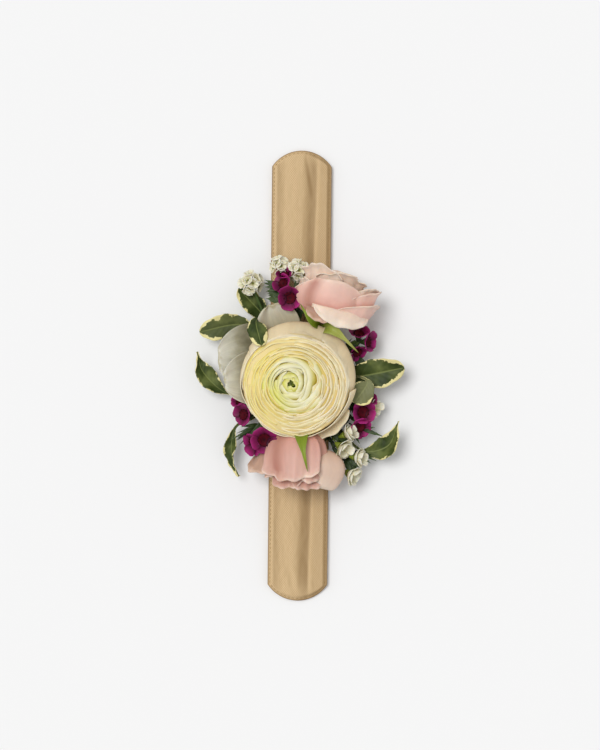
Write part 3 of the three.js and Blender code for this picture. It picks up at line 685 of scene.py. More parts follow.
def needle_shape(foot, tip, half_width):
    """A thin needle leaf from foot to tip, arched a little."""
    foot, tip = Vector(foot), Vector(tip)
    side = (tip - foot).cross(Vector((0, 0, 1))).normalized()

    def shape(u, v):
        arch = Vector((0, 0, 1.2 * math.sin(math.pi * v)))
        width = half_width * (0.25 + 0.75 * math.sin(math.pi * min(1, v * 0.8 + 0.2))) * (1 - v ** 3)
        return foot.lerp(tip, v) + side * u * width + arch + Vector((0, 0, 0.25 * width * abs(u)))
    return shape


def wax_petal(place, tip_way, facing, reach, width, cup):
    """One waxflower petal: round, hollowed like a spoon, standing out from the cup."""
    side = facing.cross(tip_way).normalized()

    def shape(u, v):
        half = width * (0.42 + 0.58 * math.sin(math.pi / 2 * min(1, v / 0.6)))
        if v > 0.6:
            half = half * math.sqrt(max(0.0, 1 - ((v - 0.6) / 0.46) ** 2))
        rise = cup * (v ** 1.6) + 0.42 * cup * u * u * math.sin(math.pi * min(1, v * 0.9 + 0.1))
        return place + tip_way * (1.5 + (reach - 1.5) * v) + side * u * half + facing * rise
    return shape


def add_waxflower(petals, cups, greens, place, facing, reach, rng, cup, layers=(1.0,), dusk=1.0):
    """One waxflower: its layers of petals, the cup, its stamens and the calyx under it."""
    facing = Vector(facing).normalized()
    place = Vector(place)
    turn = rng.uniform(0, 2)
    for layer, share in enumerate(layers):
        for number in range(5):
            way = spoke(facing, turn + (number + 0.5 * layer) * math.tau / 5)
            lean = (way + facing * rng.uniform(-0.12, 0.16)).normalized()
            size = reach * share * rng.uniform(0.9, 1.06)
            rise = cup * rng.uniform(0.75, 1.35) * (1 + 0.5 * layer)
            shape = wax_petal(place, lean, facing, size, size * wax_petal_share, rise)
            add_petal(petals, 8, 8, shape, dusk * rng.random())
    add_petal(cups, 16, 14, turned_shape(place, reach / cup_reach, facing, cup_profile), 0.0)
    for number in range(10):
        way = spoke(facing, turn + number * math.tau / 10)
        add_bead(cups, place + way * stamen_ring * reach / cup_reach + facing * stamen_rise, stamen_radius)
    add_petal(greens, 12, 10, turned_shape(place, reach / calyx_reach, facing, calyx_profile), 0.6)


cloud_size = 5.263 * MM


def petal_material(name, stops, other_stops, vein_scale, roughness, glow, fleck=0.12, depth=1.2, shine=0.4):
    """A petal's skin: two runs of colour from foot to tip, mixed by each petal's tone, with fine veins.

    Light glows a little way through it, fleck breaks up the runs, and vein_scale is the veins across it.
    """
    material, tree, shader = new_material(name)
    place = add_node(tree, "UVMap", {}, uv_map="UVMap")
    axes = add_node(tree, "SeparateXYZ", {"Vector": place})
    tone = add_node(tree, "Attribute", {}, attribute_name="tone")
    spot = add_node(tree, "TexCoord", {})
    cloud = add_node(tree, "TexNoise", {
        "Vector": spot.outputs["Object"], "Scale": 1 / cloud_size, "Detail": 3.0})
    drift = add_node(tree, "MapRange", {"Value": cloud, "To Min": -fleck, "To Max": fleck})
    along = add_node(tree, "Math", {0: axes.outputs["Y"], 1: drift}, operation="ADD")
    stretch = add_node(tree, "Mapping", {"Vector": place, "Scale": (vein_scale, 1.6, 1.0)})
    shift = add_node(tree, "VectorMath", {0: stretch, 1: tone.outputs["Vector"]}, operation="ADD")
    veins = add_node(tree, "TexNoise", {"Vector": shift, "Scale": 1.0, "Detail": 4.0, "Roughness": 0.55})
    light_run = add_node(tree, "ValToRGB", {"Fac": along}, stops)
    dusky_run = add_node(tree, "ValToRGB", {"Fac": along}, other_stops)
    mixed = add_node(tree, "Mix", {
        "Factor": tone.outputs["Fac"], "A": light_run, "B": dusky_run}, data_type="RGBA")
    shade = add_node(tree, "MapRange", {
        "Value": veins, "From Min": 0.25, "From Max": 0.75, "To Min": 0.86, "To Max": 1.06})
    veined = add_node(tree, "VectorMath", {0: mixed, "Scale": shade}, operation="SCALE")
    bump = add_node(tree, "Bump", {"Height": veins, "Strength": 0.3, "Distance": 0.25 * MM})
    fill_inputs(shader, {
        "Base Color": veined, "Normal": bump, "Roughness": roughness,
        "Subsurface Weight": glow, "Subsurface Radius": (1.0, 0.7, 0.4), "Subsurface Scale": depth * MM,
        "Specular IOR Level": shine})
    return material


# Waxy magenta: nearly black at the foot, brighter at the rim, with little gloss.
magenta = petal_material("magenta_waxflower_petal", [
    (0.0, "#2E0412"), (0.3, "#5A0834"), (0.7, "#92165F"), (1.0, "#B22C7E")], [
    (0.0, "#2C0414"), (0.3, "#500A30"), (0.7, "#701046"), (1.0, "#8A1C5E")],
    vein_scale=9.0, roughness=0.5, glow=0.06, shine=0.2)
# Waxy white: yellow-green at the foot, and lit through a little at the rim.
wax_white = petal_material("white_waxflower_petal", [
    (0.0, "#A9A252"), (0.16, "#DAD4AA"), (0.7, "#EEE9D2"), (1.0, "#F6F3E6")], [
    (0.0, "#9C954A"), (0.16, "#CCC598"), (0.7, "#E2DCBE"), (1.0, "#EFEBD8")],
    vein_scale=7.0, roughness=0.5, glow=0.15, depth=0.6)
# Dark wine red: dull, so that the cup reads as a hollow.
cup_red = petal_material("waxflower_cup", [
    (0.0, "#26040A"), (0.5, "#3C0610"), (0.8, "#560A1A"), (1.0, "#300610")], [
    (0.0, "#34060E"), (0.5, "#4A0816"), (0.8, "#640E22"), (1.0, "#3A0612")],
    vein_scale=8.0, roughness=0.6, glow=0.0, fleck=0.2, shine=0.08)
# Yellow-green and rather glossy: the cups and dots of the white flowers.
cup_green = petal_material("white_flower_cup", [
    (0.0, "#6D7A26"), (0.5, "#95993A"), (0.8, "#B9B45E"), (1.0, "#8C8A33")], [
    (0.0, "#8C8A33"), (0.5, "#B9B45E"), (0.8, "#D8D08A"), (1.0, "#E4DEA8")],
    vein_scale=8.0, roughness=0.4, glow=0.0, fleck=0.2)
# Dark, dull green for the stems and needles; its darker second run, which the tufts take, is partly painted
# shade between the flowers.
stem_green = petal_material("green_stem_skin", [
    (0.0, "#2A3A18"), (0.4, "#3A4E20"), (0.8, "#4E6428"), (1.0, "#627430")], [
    (0.0, "#1C2912"), (0.4, "#263818"), (0.8, "#30461E"), (1.0, "#3C5424")],
    vein_scale=10.0, roughness=0.5, glow=0.05, fleck=0.25)
# Yellow-green: the fleshy calyxes, hips and sepals.
calyx_green = petal_material("yellow_green_calyx", [
    (0.0, "#7C8A2C"), (0.4, "#98A243"), (0.8, "#B4B662"), (1.0, "#8C963A")], [
    (0.0, "#5A6C10"), (0.4, "#708612"), (0.8, "#82981A"), (1.0, "#64781A")],
    vein_scale=10.0, roughness=0.45, glow=0.08, fleck=0.2)

# Each sprig: its foot on the pad, how dusky its petals are, then the place, facing and reach of each flower.
sprigs = {
    "waxflower_sprig_top": ((-5, 10), 1.4, [
        ((-5.4, 39.0, 24), (-0.1, -0.15, 1), 6.1),
        ((-8.6, 46.4, 15), (-0.5, 0.25, 0.8), 5.0),
        ((-8.2, 50.6, 14), (-0.1, 0.75, 0.7), 4.2)]),
    "waxflower_sprig_right_upper": ((10, 6.5), 0.7, [
        ((29.6, 21.0, 16), (0.1, 0.7, 0.6), 5.2),
        ((33.8, 17.4, 15), (0.85, 0.0, 0.5), 5.4),
        ((28.8, 12.4, 15), (0.4, -0.6, 0.6), 5.0)]),
    "waxflower_sprig_right_lower": ((10, -7), 0.2, [
        ((34.4, -11.4, 13.5), (0.5, 0.5, 0.7), 4.8),
        ((32.2, -18.2, 15), (0.25, -0.1, 1), 6.1),
        ((30.6, -25.4, 13), (0.3, -0.4, 0.8), 5.7)]),
    "waxflower_sprig_left": ((-10, -8), 1.0, [
        ((-27.6, -20.0, 16), (-0.6, 0.0, 0.7), 5.6),
        ((-29.4, -13.6, 14.5), (-0.5, 0.6, 0.6), 5.0),
        ((-17.4, -32.4, 22), (0.0, -0.2, 1), 6.6),
        ((-22.6, -34.2, 17), (-0.75, -0.45, 0.55), 6.0)]),
}


def add_sprig_greens(greens, needles, foot, flowers, rng):
    """The stems from the foot to each flower, and the needle leaves along them."""
    base = Vector((*foot, stem_start))
    for place, facing, _ in flowers:
        place = Vector(place)
        facing = Vector(facing).normalized()
        end = place - facing * calyx_depth
        middle = base.lerp(end, 0.55)
        middle.z = min(base.z, end.z) + 0.6
        add_petal(greens, 8, 18, stem_shape([base, middle, end], 1.0, 0.55), 0.1)
        for number in range(9):
            root = curve_point([base, middle, end], 0.5 + 0.04 * number)[0]
            spray = Vector((rng.uniform(-7, 7), rng.uniform(-7, 7), rng.uniform(-2.5, 0)))
            away = (place - base).normalized() * 3 + spray
            tip = root + away * rng.uniform(0.6, 0.9)
            tip.z = max(tip.z, needle_floor)
            add_petal(needles, 4, 8, needle_shape(root, tip, 0.75), rng.random())


def add_tuft(needles, root, way, count, length, half_width, rng):
    """A tuft of needle leaves from one root, spreading about the given way."""
    root = Vector(root)
    for _ in range(count):
        spray = Vector((rng.uniform(-0.5, 0.5), rng.uniform(-0.5, 0.5), rng.uniform(-0.15, 0.3)))
        tip = root + (Vector(way).normalized() + spray) * length * rng.uniform(0.75, 1.05)
        add_petal(needles, 4, 8, needle_shape(root, tip, half_width), rng.uniform(0.4, 1.0))


# The tufts are dark needle leaves, set partly as painted shade where shade falls between the flowers.
# Each tuft: its root, its way, how many needles it has, their length and half their width.
tufts = {
    "waxflower_sprig_top": [
        ((-7, 37.5, 11), (-1, 0.3, 0), 16, 8.5, 1.9),
        ((-9, 45, 9.5), (-0.9, 0, 0), 12, 7.5, 1.5),
        ((-8, 36, 14), (-0.9, 0.4, 0.1), 10, 5.0, 1.6),
        ((-2, 38, 11), (0.3, 1, 0), 10, 8.0, 1.4),
        ((-9, 41, 8.5), (-0.9, 0.3, 0), 16, 6.0, 2.0),
        ((-1, 37.5, 13), (0, -1, 0.1), 18, 8.0, 2.2)],
    "waxflower_sprig_right_upper": [
        ((26, 13, 11), (1, 0.5, 0), 8, 9.0, 1.2),
        ((29, 9, 12), (0.5, -1, 0), 5, 8.0, 1.8)],
    "waxflower_sprig_right_lower": [
        ((27, -16, 11), (0.8, -0.7, 0), 9, 8.0, 1.2),
        ((32, -26.5, 11), (1, -0.4, 0), 5, 8.5, 0.8),
        ((25, -24, 11), (0.3, -1, 0.1), 9, 8.0, 1.5)],
    "waxflower_sprig_left": [
        ((-20, -25, 13), (-1, -0.5, 0), 16, 11.5, 0.8),
        ((-16, -23, 15), (-0.6, -0.8, 0), 20, 9.0, 1.8),
        ((-12, -27, 15), (-0.6, -0.8, 0), 12, 8.0, 1.6),
        ((-23, -19, 12), (-1, -0.2, 0), 9, 7.0, 1.4)],
    "white_waxflower_sprig": [
        ((17, -27, 13), (0.8, -0.8, 0), 10, 9.0, 1.6),
        ((24, -42, 11), (0.6, -1, 0), 9, 9.0, 1.4),
        ((28, -38, 11), (1, -0.6, 0), 8, 9.0, 0.9)],
}
rng = random.Random(5)
for name, (foot, dusk, flowers) in sprigs.items():
    petals, cups, greens, needles = new_shape(), new_shape(), new_shape(), new_shape()
    for place, facing, reach in flowers:
        add_waxflower(petals, cups, greens, place, facing, reach, rng, cup=2.2, dusk=dusk)
    add_sprig_greens(greens, needles, foot, flowers, rng)
    for tuft in tufts[name]:
        add_tuft(needles, *tuft, rng)
    settle(petals, f"{name}_petals", magenta, [name], thickness=wax_thickness)
    settle(cups, f"{name}_cups", cup_red)
    settle(greens, f"{name}_stems", stem_green)
    settle(needles, f"{name}_needles", stem_green, thickness=wax_thickness)


# The white sprigs: waxflowers seen from the side, their yellow-green calyx cones showing, and two
# heads of small round white florets packed close together.
white_flowers = [
    ((23.6, -29.4, 17), (0.8, 0.35, 0.4), 5.0),
    ((21.2, -35.6, 18), (0.65, -0.45, 0.55), 5.4),
    ((28.8, -40.8, 15.5), (0.9, -0.1, 0.38), 4.8),
    ((25.8, -49.4, 13.5), (0.75, -0.35, 0.45), 5.4),
    ((36.2, -16.2, 9.5), (0.8, 0.1, 0.5), 4.6),
]
petals, cups, greens = new_shape(), new_shape(), new_shape()
for place, facing, reach in white_flowers:
    add_waxflower(petals, cups, greens, place, facing, reach, rng, cup=3.0, layers=(1.0, 0.75))
settle(petals, "white_waxflower_petals", wax_white, ["white_waxflower_sprig"],
       thickness=wax_thickness)
settle(cups, "white_waxflower_cups", cup_green)
settle(greens, "white_waxflower_calyx", calyx_green)
greens, needles = new_shape(), new_shape()
add_sprig_greens(greens, needles, (6, -10), white_flowers, rng)
for tuft in tufts["white_waxflower_sprig"]:
    add_tuft(needles, *tuft, rng)
settle(greens, "white_waxflower_stems", stem_green)
settle(needles, "white_waxflower_needles", stem_green, thickness=wax_thickness)


# Florets turn by the golden angle from one to the next, as seeds do.
golden_turn = 2.4
dot_lift = 0.5
dot_radius = 0.5
filler_stem_height = 8


def add_floret_head(petals, cups, place, radius, count, rng):
    """A dome of small florets, each with five spoon-shaped petals round a green dot."""
    place = Vector(place)
    for number in range(count):
        angle = number * golden_turn + rng.uniform(-0.2, 0.2)
        spread = math.sqrt((number + 0.3) / count) * 1.15
        facing = Vector((math.cos(angle) * spread, math.sin(angle) * spread, 1.0 - 0.5 * spread))
        facing.normalize()
        centre = place + facing * radius * rng.uniform(0.5, 0.62)
        turn = rng.uniform(0, 2)
        for part in range(5):
            way = spoke(facing, turn + part * math.tau / 5)
            size = rng.uniform(2.6, 3.3)
            rise = rng.uniform(0.9, 2.3)
            shape = wax_petal(centre - way * 1.1, way, facing, size + 0.9, size * wax_petal_share, rise)
            add_petal(petals, 6, 6, shape, rng.random())
        add_bead(cups, centre + facing * dot_lift, dot_radius)


# Each sprig of florets: its foot on the pad, then the place, radius and number of florets of each head.
floret_heads = {
    "white_filler_left": ((-9.5, 10), [((-25.0, 46.4, 11.5), 7.4, 9)]),
    "white_filler_band": ((-1, 10.5), [((-10.8, 55.4, 10), 5.8, 7), ((-1.7, 53.3, 11.5), 7.0, 9)]),
}
for name, (foot, heads) in floret_heads.items():
    petals, cups, greens = new_shape(), new_shape(), new_shape()
    for place, radius, count in heads:
        add_floret_head(petals, cups, place, radius, count, rng)
        base = Vector((*foot, stem_start))
        middle = base.lerp(Vector(place), 0.6)
        middle.z = filler_stem_height
        add_petal(greens, 8, 18, stem_shape([base, middle, Vector(place)], 1.0, 0.6), 0.1)
        for number in range(9):
            angle = number * 0.7
            branch = Vector(place) + Vector((math.cos(angle), math.sin(angle), 0.5)) * radius * 0.7
            line = [Vector(place), branch.lerp(Vector(place), 0.5), branch]
            add_petal(greens, 6, 6, stem_shape(line, 0.4, 0.3), 0.4)
    settle(petals, f"{name}_petals", wax_white, [name], thickness=wax_thickness)
    settle(cups, f"{name}_dots", cup_green)
    settle(greens, f"{name}_stems", stem_green)


# The roses: two half-open spray roses lying on their sides, one above and one below the ranunculus.
# Each is a tight heart of rolled petals in broad outer petals, held by a green calyx on a short stem.

# Soft pink with pale rims; its second run is a dusky pink, used as painted shade in folds and over the lower
# rose.
rose_pink = petal_material("pink_rose_petal", [
    (0.0, "#DDA08C"), (0.3, "#EBAFA1"), (0.6, "#F0BFB0"), (0.9, "#F2CCBC"), (1.0, "#F5DAC8")], [
    (0.0, "#B27C6A"), (0.3, "#BE8876"), (0.6, "#BC8574"), (0.86, "#B87E6E"), (0.96, "#D4A896"),
    (1.0, "#EBCDBD")],
    vein_scale=5.0, roughness=0.55, glow=0.2, depth=0.8)
# Peach, nearly white at the rim; its second run is a brownish pink, partly the browning of old outer petals
# and partly painted shade on the folded-under and side petals.
rose_edge = petal_material("peach_rose_petal", [
    (0.0, "#DDB69A"), (0.3, "#EECDB4"), (0.7, "#F4D9C4"), (1.0, "#F8E6D4")], [
    (0.0, "#84584A"), (0.3, "#9A6C5A"), (0.7, "#AE8470"), (0.93, "#C0987F"), (1.0, "#E2C2AC")],
    vein_scale=5.0, roughness=0.55, glow=0.2, depth=0.8)


def standing(foot, axis, size, flat):
    """The place of a rose: z along its axis, x towards its upper side, pressed flat by its own weight."""
    along = Vector(axis).normalized()
    over = (Vector((0, 0, 1)) - along * along.z).normalized()
    beside = along.cross(over)
    turn = Matrix((over * flat, beside, along)).transposed().to_4x4()
    return Matrix.Translation(Vector(foot)) @ turn @ Matrix.Scale(size, 4)


def rose_petal(stand, angle, side, half_angle, roll, ruffle, pinch, slant=0.0, tuck=0.0, taper=0.32, seed=0):
    """One rose petal wrapped round the axis: side gives radius and height from its foot to its rim.

    Its edges roll outwards, its rim is ruffled, pinched to a point, slanted, tucked in and tapered.
    """
    start = math.radians(angle)
    spread = math.radians(half_angle)

    def shape(u, v):
        r, z = curve_point(side, v * (1 - taper * abs(u) ** 3))[0]
        wrap = u * spread * (0.55 + 0.45 * math.sin(math.pi / 2 * min(1, v / 0.5))) * (1 - 0.2 * v ** 5)
        wave = ruffle * v ** 3 * (math.sin(5.2 * u + seed) + 0.7 * math.sin(11 * u + 2.1 * seed))
        curl = roll * max(0, abs(u) - 0.5) ** 2 * v * v * 4
        point = pinch * math.exp(-(u / 0.2) ** 2) * v ** 6
        swell = 0.5 * v * noise.noise(Vector((u * 2.4, v * 0.9, seed)))
        swell += 0.7 * ruffle * v * noise.noise(Vector((u * 6, v * 0.6, seed)))
        lip = (0.6 + 1.5 * ruffle) * smooth_step(0.82, 1.0, v)
        r = r + wave + curl + swell + lip - max(0, tuck * u)
        z = z + point + 0.6 * wave + slant * u * v * v - 0.6 * lip * smooth_step(0.9, 1.0, v)
        turn = start + wrap
        return stand @ Vector((r * math.cos(turn), r * math.sin(turn), z))
    return shape


def add_rose_heart(bm, stand, radius, height, rng):
    """The rolled heart: petals wound tightly round each other, their rims lower towards the middle."""
    count = 9
    golden_degrees = 137.5
    for number in range(count):
        share = (number + 1) / count
        r = radius * (0.16 + 0.84 * share)
        top = height * (0.9 + 0.1 * math.sin(math.pi * share * 0.8))
        side = [(r * 0.55, height * 0.12), (r * 1.02, height * 0.45), (r * 0.98, top * 0.8), (r * 0.9, top)]
        angle = number * golden_degrees
        shape = rose_petal(stand, angle, side, half_angle=82, roll=0.4, ruffle=0.3, pinch=0.4, seed=number)
        add_petal(bm, 28, 14, shape, rng.random())


def upper_painted_shade(u):
    """Painted shade on the upper rose: duskier in a soft fold left of its middle."""
    return 0.15 + 0.75 * math.exp(-((u + 0.45) / 0.15) ** 2)


def lower_painted_shade(u):
    """Painted shade on the lower rose: duskier all over, and most in the fold left of its middle."""
    return 0.34 + 0.66 * math.exp(-((u - 0.46) / 0.34) ** 2)


def lobe_painted_shade(u):
    """Painted shade on the right lobe of the lower rose: duskier towards its outer side."""
    return 0.34 - 0.24 * u


def left_painted_shade(u):
    """Painted shade on the left petal of the lower rose: duskier towards its under side."""
    return 0.94 + 0.15 * u


# Each rose: its foot, its axis, its size, how flat it lies, its heart's radius and the foot of its stem.
roses = {
    "rose_upper": ((12.0, 24.5, 18), (0.22, 0.96, 0.08), 1.13, 0.84, 12.0, (6.5, 7.5)),
    "rose_lower": ((0.0, -22.5, 16), (-0.02, -0.98, 0.02), 1.06, 0.86, 10.8, (0, -7.5)),
}
heart_height = 25.5
hip_profile = [(0.0, -3.2), (2.2, -2.6), (4.6, 0.2), (6.4, 3.6), (5.4, 5.0), (0.0, 5.2)]

# Each piece: its skin, its tone and its petals, every petal with the values that rose_petal takes, in order.
# The dusk functions, the folded-under petal's tone and the lower rose's rim tone pick the darker second runs
# as painted shade.
rose_petals = {
    "rose_upper": {
        "cheek_petal": (rose_pink, upper_painted_shade, [
            (0, [(6, 3), (14, 7), (16.8, 14), (14.8, 22.5)], 80, 0.4, 0.25, 0.2)]),
        "right_petal": (rose_pink, 0.0, [
            (50, [(7, 2), (15.4, 4), (19.6, 9), (21.8, 15)], 46, 0, 0.3, 0.2, 2.5, -4, 0.14),
            (72, [(6.5, 5), (15, 9), (19.2, 14), (20.0, 21.4)], 46, 0, 0.4, 0.2, 2, -4, 0.12)]),
        "folded_petal": (rose_edge, 0.0, [
            (24, [(7, 1.5), (15, 5.5), (18.2, 9.8), (19.2, 7), (18.4, 3.2)], 50, 0.2, 0.5, 0.3)]),
        "folded_under": (rose_edge, 0.95, [
            (-8, [(7, 1.5), (14.2, 4.5), (16.8, 8.2), (17.6, 6), (17.0, 3.4)], 28, 0.2, 0.4, 0.2)]),
        "rim": (rose_edge, 0.2, [
            (-62, [(6.5, 5), (13, 9), (14.2, 15), (14.0, 20.5)], 44, 0.2, 0.3, 0.2, 0, 0, 0.35),
            (-30, [(6.5, 5), (12.4, 12), (13.0, 20), (15.0, 28.2)], 50, 0.3, 0.8, 0.2, 0, 0, 0.16),
            (14, [(6.5, 5), (12.2, 12), (12.8, 20), (14.6, 26.5)], 58, 0.4, 0.9, 0.2, 0, 0, 0.18),
            (180, [(6.5, 5), (11.8, 12), (12.4, 20), (12.8, 26)], 80, 0.2, 0.3, 0.3),
            (66, [(6.5, 5), (13.8, 9.5), (17.4, 15.5), (18.6, 22.6)], 40, 0.2, 0.4, 0.2, 1, -4, 0.2)]),
    },
    "rose_lower": {
        "cheek_petal": (rose_pink, lower_painted_shade, [
            (14, [(6, 3), (13.8, 9), (16.6, 18), (15.8, 30)], 55, 1.2, 0.9, -0.6, 0, 0, 0.12)]),
        "left_petal": (rose_edge, left_painted_shade, [
            (82, [(7, 4), (13.5, 10), (18, 16.5), (22.2, 25.2)], 42, 0.6, 0.5, 0.6, -5, -6, 0.24)]),
        "right_petal": (rose_edge, lobe_painted_shade, [
            (-74, [(10, 8), (12, 12.5), (18.2, 15.5), (22, 20), (22.2, 25), (19.6, 30), (15.6, 33)],
             42, 0, 0.3, 0.2, 0, 9, 0.26)]),
        "rim": (rose_pink, 0.75, [
            (-24, [(6.2, 3), (12.8, 9), (14.6, 18), (13.8, 30)], 42, 0.9, 0.5, 0.3, 0, 0, 0.22),
            (24, [(6, 5), (10.6, 12), (11.4, 22), (11.8, 33.5)], 52, 0.4, 0.8, 0.3, 0, 0, 0.2),
            (-20, [(6, 5), (10.4, 12), (11.2, 22), (11.6, 34)], 50, 0.4, 0.8, 0.3, 0, 0, 0.2),
            (68, [(6.2, 4), (12.0, 10), (13, 18), (13.4, 28.5)], 44, 0.4, 0.6, 0.3),
            (180, [(6.2, 5), (10.6, 12), (11, 20), (11.2, 27)], 90, 0.2, 0.3, 0.3)]),
    },
}

# Each sepal: its spine, half its width and its tone.
rose_sepals = {
    "rose_upper": [
        ([(11, 25.5, 22), (6.8, 27.0, 31), (3.0, 30.8, 33), (-0.2, 36.0, 31)], 2.8, 0.95),
        ([(10, 24.5, 18), (14.5, 24.0, 31), (21.2, 19.4, 31.5), (29.6, 11.6, 24)], 3.8, 0.0),
        ([(12, 24, 12), (15, 30, 5), (18, 36, 4.4)], 2.6, 0.5)],
    "rose_lower": [
        ([(0.8, -23, 18), (1.2, -29.5, 28.2), (2.2, -37, 33.8), (4.6, -48, 33)], 4.2, 0.9),
        ([(-3, -23, 12), (-7, -29, 5), (-9, -36, 4.4)], 2.8, 0.6),
        ([(4, -23, 12), (8, -29, 5), (10, -36, 4.4)], 2.8, 0.6)],
}


def sepal_shape(points, half_width):
    """A narrow pointed sepal along its spine, folded up a little along its middle."""
    def shape(u, v):
        place, side, lift = spine_frame(points, v)
        width = half_width * (1 - v) ** 0.7 * (0.55 + 0.6 * math.sin(math.pi * min(1, v * 1.25 + 0.1)))
        return place + side * u * width + lift * (0.35 * abs(u) * width)
    return shape


for name, (foot, axis, size, flat, heart_radius, stem_foot) in roses.items():
    stand = standing(foot, axis, size, flat)
    heart = new_shape()
    add_rose_heart(heart, stand, heart_radius, heart_height, rng)
    settle(heart, f"{name}_rolled_heart", rose_pink, [f"{name}_heart"], thickness=0.35)
    for part, (finish, dusk, petal_list) in rose_petals[name].items():
        bm = new_shape()
        for petal in petal_list:
            add_petal(bm, 36, 24, rose_petal(stand, *petal, seed=petal[0]), dusk)
        shown = [f"{name}_{part}"] if f"{name}_{part}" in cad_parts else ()
        settle(bm, f"{name}_{part}_leafed", finish, shown, thickness=0.4)
    greens = new_shape()
    base = Vector((*stem_foot, stem_start))
    end = stand @ Vector((0, 0, 2))
    middle = base.lerp(end, 0.5) - Vector((0, 0, 1))
    add_petal(greens, 10, 16, stem_shape([base, middle, end], 1.3, 1.6), 0.2)
    hip = [(r * size, z * size) for r, z in hip_profile]
    add_petal(greens, 20, 14, turned_shape(foot, 1, axis, hip), 0.5)
    settle(greens, f"{name}_hip_and_stem", calyx_green, [f"{name}_calyx"])
    sepals = new_shape()
    for spine, half_width, tone in rose_sepals[name]:
        add_petal(sepals, 8, 24, sepal_shape(spine, half_width), tone)
    settle(sepals, f"{name}_sepals", calyx_green, thickness=0.25)


# The ranunculus: one large cream flower at the middle, its many thin petals wound in close rings.
# The outer petals make a deep bowl, the rims stand up in rows, and the inner ones close over a green eye.
head_base = 12.05
bowl_centre = Vector((-0.5, -1.2))
rim_shift = Vector((-1.8, -3.6))
eye_shift = Vector((-3.7, -2.9))
head_lean = math.radians(8)
lean_towards = math.radians(219)
yellow_side = math.radians(182)
back_side = math.radians(72)
slit_side = math.radians(-6)
lime_side = math.radians(212)
equator_height = 25.3
crown_height = 37.0

# Thin yellow cream with pale rims; its second run is the warmer cream of the far side, and its light foot is
# partly painted light that softens the shade in the slits there.
cream = petal_material("cream_ranunculus_petal", [
    (0.0, "#E2C254"), (0.5, "#E9CC68"), (0.72, "#ECD574"), (0.9, "#EEDB80"), (1.0, "#F4E7A6")], [
    (0.0, "#EECF94"), (0.5, "#F3D9A6"), (0.72, "#F6E2B6"), (0.9, "#F8E8C0"), (1.0, "#FBF2DA")],
    vein_scale=6.0, roughness=0.55, glow=0.1, fleck=0.06, depth=0.5, shine=0.25)
# Cream that turns greyish green towards the foot, with fine veins.
outer_cream = petal_material("outer_ranunculus_petal", [
    (0.0, "#A89E72"), (0.35, "#CDBD94"), (0.7, "#E6D2A8"), (0.92, "#F0E0BA"), (1.0, "#F6EACB")], [
    (0.0, "#988A68"), (0.35, "#B8A581"), (0.7, "#CDB791"), (0.92, "#E1CDA7"), (1.0, "#F0E2C2")],
    vein_scale=9.0, roughness=0.5, glow=0.15, fleck=0.08, depth=0.5, shine=0.3)
# Pale with a yellow foot, which is partly the petals' own colour and partly painted shade deep in the slits;
# its second run is lime all over.
lime = petal_material("lime_ranunculus_petal", [
    (0.0, "#B9A41C"), (0.3, "#CDB93C"), (0.46, "#DDD280"), (0.62, "#E8E1AC"), (1.0, "#F2EDCC")], [
    (0.0, "#A0A818"), (0.3, "#BDC02A"), (0.5, "#D2CE46"), (0.7, "#DEDA66"), (1.0, "#EAE692")],
    vein_scale=6.0, roughness=0.5, glow=0.1, fleck=0.06, depth=0.5, shine=0.25)


def head_point(radius, angle, height):
    """A point of the flower head: its middle drifts towards the eye as it rises, and it leans with it.

    On its back side the rims close in further, so more of the outer petals' faces shows there, and on
    its right the heart draws away from the ring round it.
    """
    rise = (height - equator_height) / (crown_height - equator_height)
    middle = bowl_centre + rim_shift * smooth_step(0.0, 0.55, rise)
    inwards = (1 - smooth_step(4, 22, radius)) * smooth_step(0.1, 0.5, rise)
    middle = middle + (eye_shift - rim_shift) * inwards
    drop = math.tan(head_lean) * radius * math.cos(angle - lean_towards)
    behind = max(0, math.cos(angle - back_side)) ** 2
    radius = radius - 2.6 * behind * smooth_step(14, 25, radius) * smooth_step(0.0, 0.35, rise)
    beside = max(0, math.cos(angle - slit_side)) ** 4
    radius = radius - 1.5 * beside * smooth_step(5, 9.5, radius) * (1 - smooth_step(11.4, 12.1, radius))
    x = middle.x + radius * math.cos(angle)
    y = middle.y + radius * math.sin(angle)
    return Vector((x, y, height - drop * max(0.3, rise)))


def ring_petal(angle, half_angle, side, step, fall, ripple, seed, back=0.0, round_tip=0.0):
    """One petal of a ring: side gives radius and height, step sets one edge outside its neighbour."""
    def shape(u, v):
        r, z = curve_point(side, v * (1 - round_tip * abs(u) ** 2.6))[0]
        spread = half_angle * (0.7 + 0.3 * math.sin(math.pi / 2 * v))
        turn = angle + u * spread
        wave = ripple * v * v * noise.noise(Vector((u * 2.2, seed * 1.7, 0.5)))
        z = z - fall * abs(u) ** 2.6 * v + 0.5 * wave
        return head_point(r + step * u + wave + back * abs(u) ** 2.6 * v, turn, z)
    return shape


def rim_height(radius):
    """How high a ring's rim stands: the rings rise from the bowl's edge, then sink towards the eye."""
    return 29.8 + 6.8 * (1 - (radius / 27) ** 2) - 3.4 * (1 - smooth_step(0, 13, radius))


def heart_tone(angle, half_angle, radius):
    """The heart is lime round the eye and down its lower left side, and pale elsewhere."""
    def tone(u):
        near = max(0, math.cos(angle + u * half_angle - lime_side)) ** 2
        return max(0.95 * near * smooth_step(4, 7, radius), 0.8 * (1 - smooth_step(2, 5, radius)))
    return tone


rng = random.Random(11)
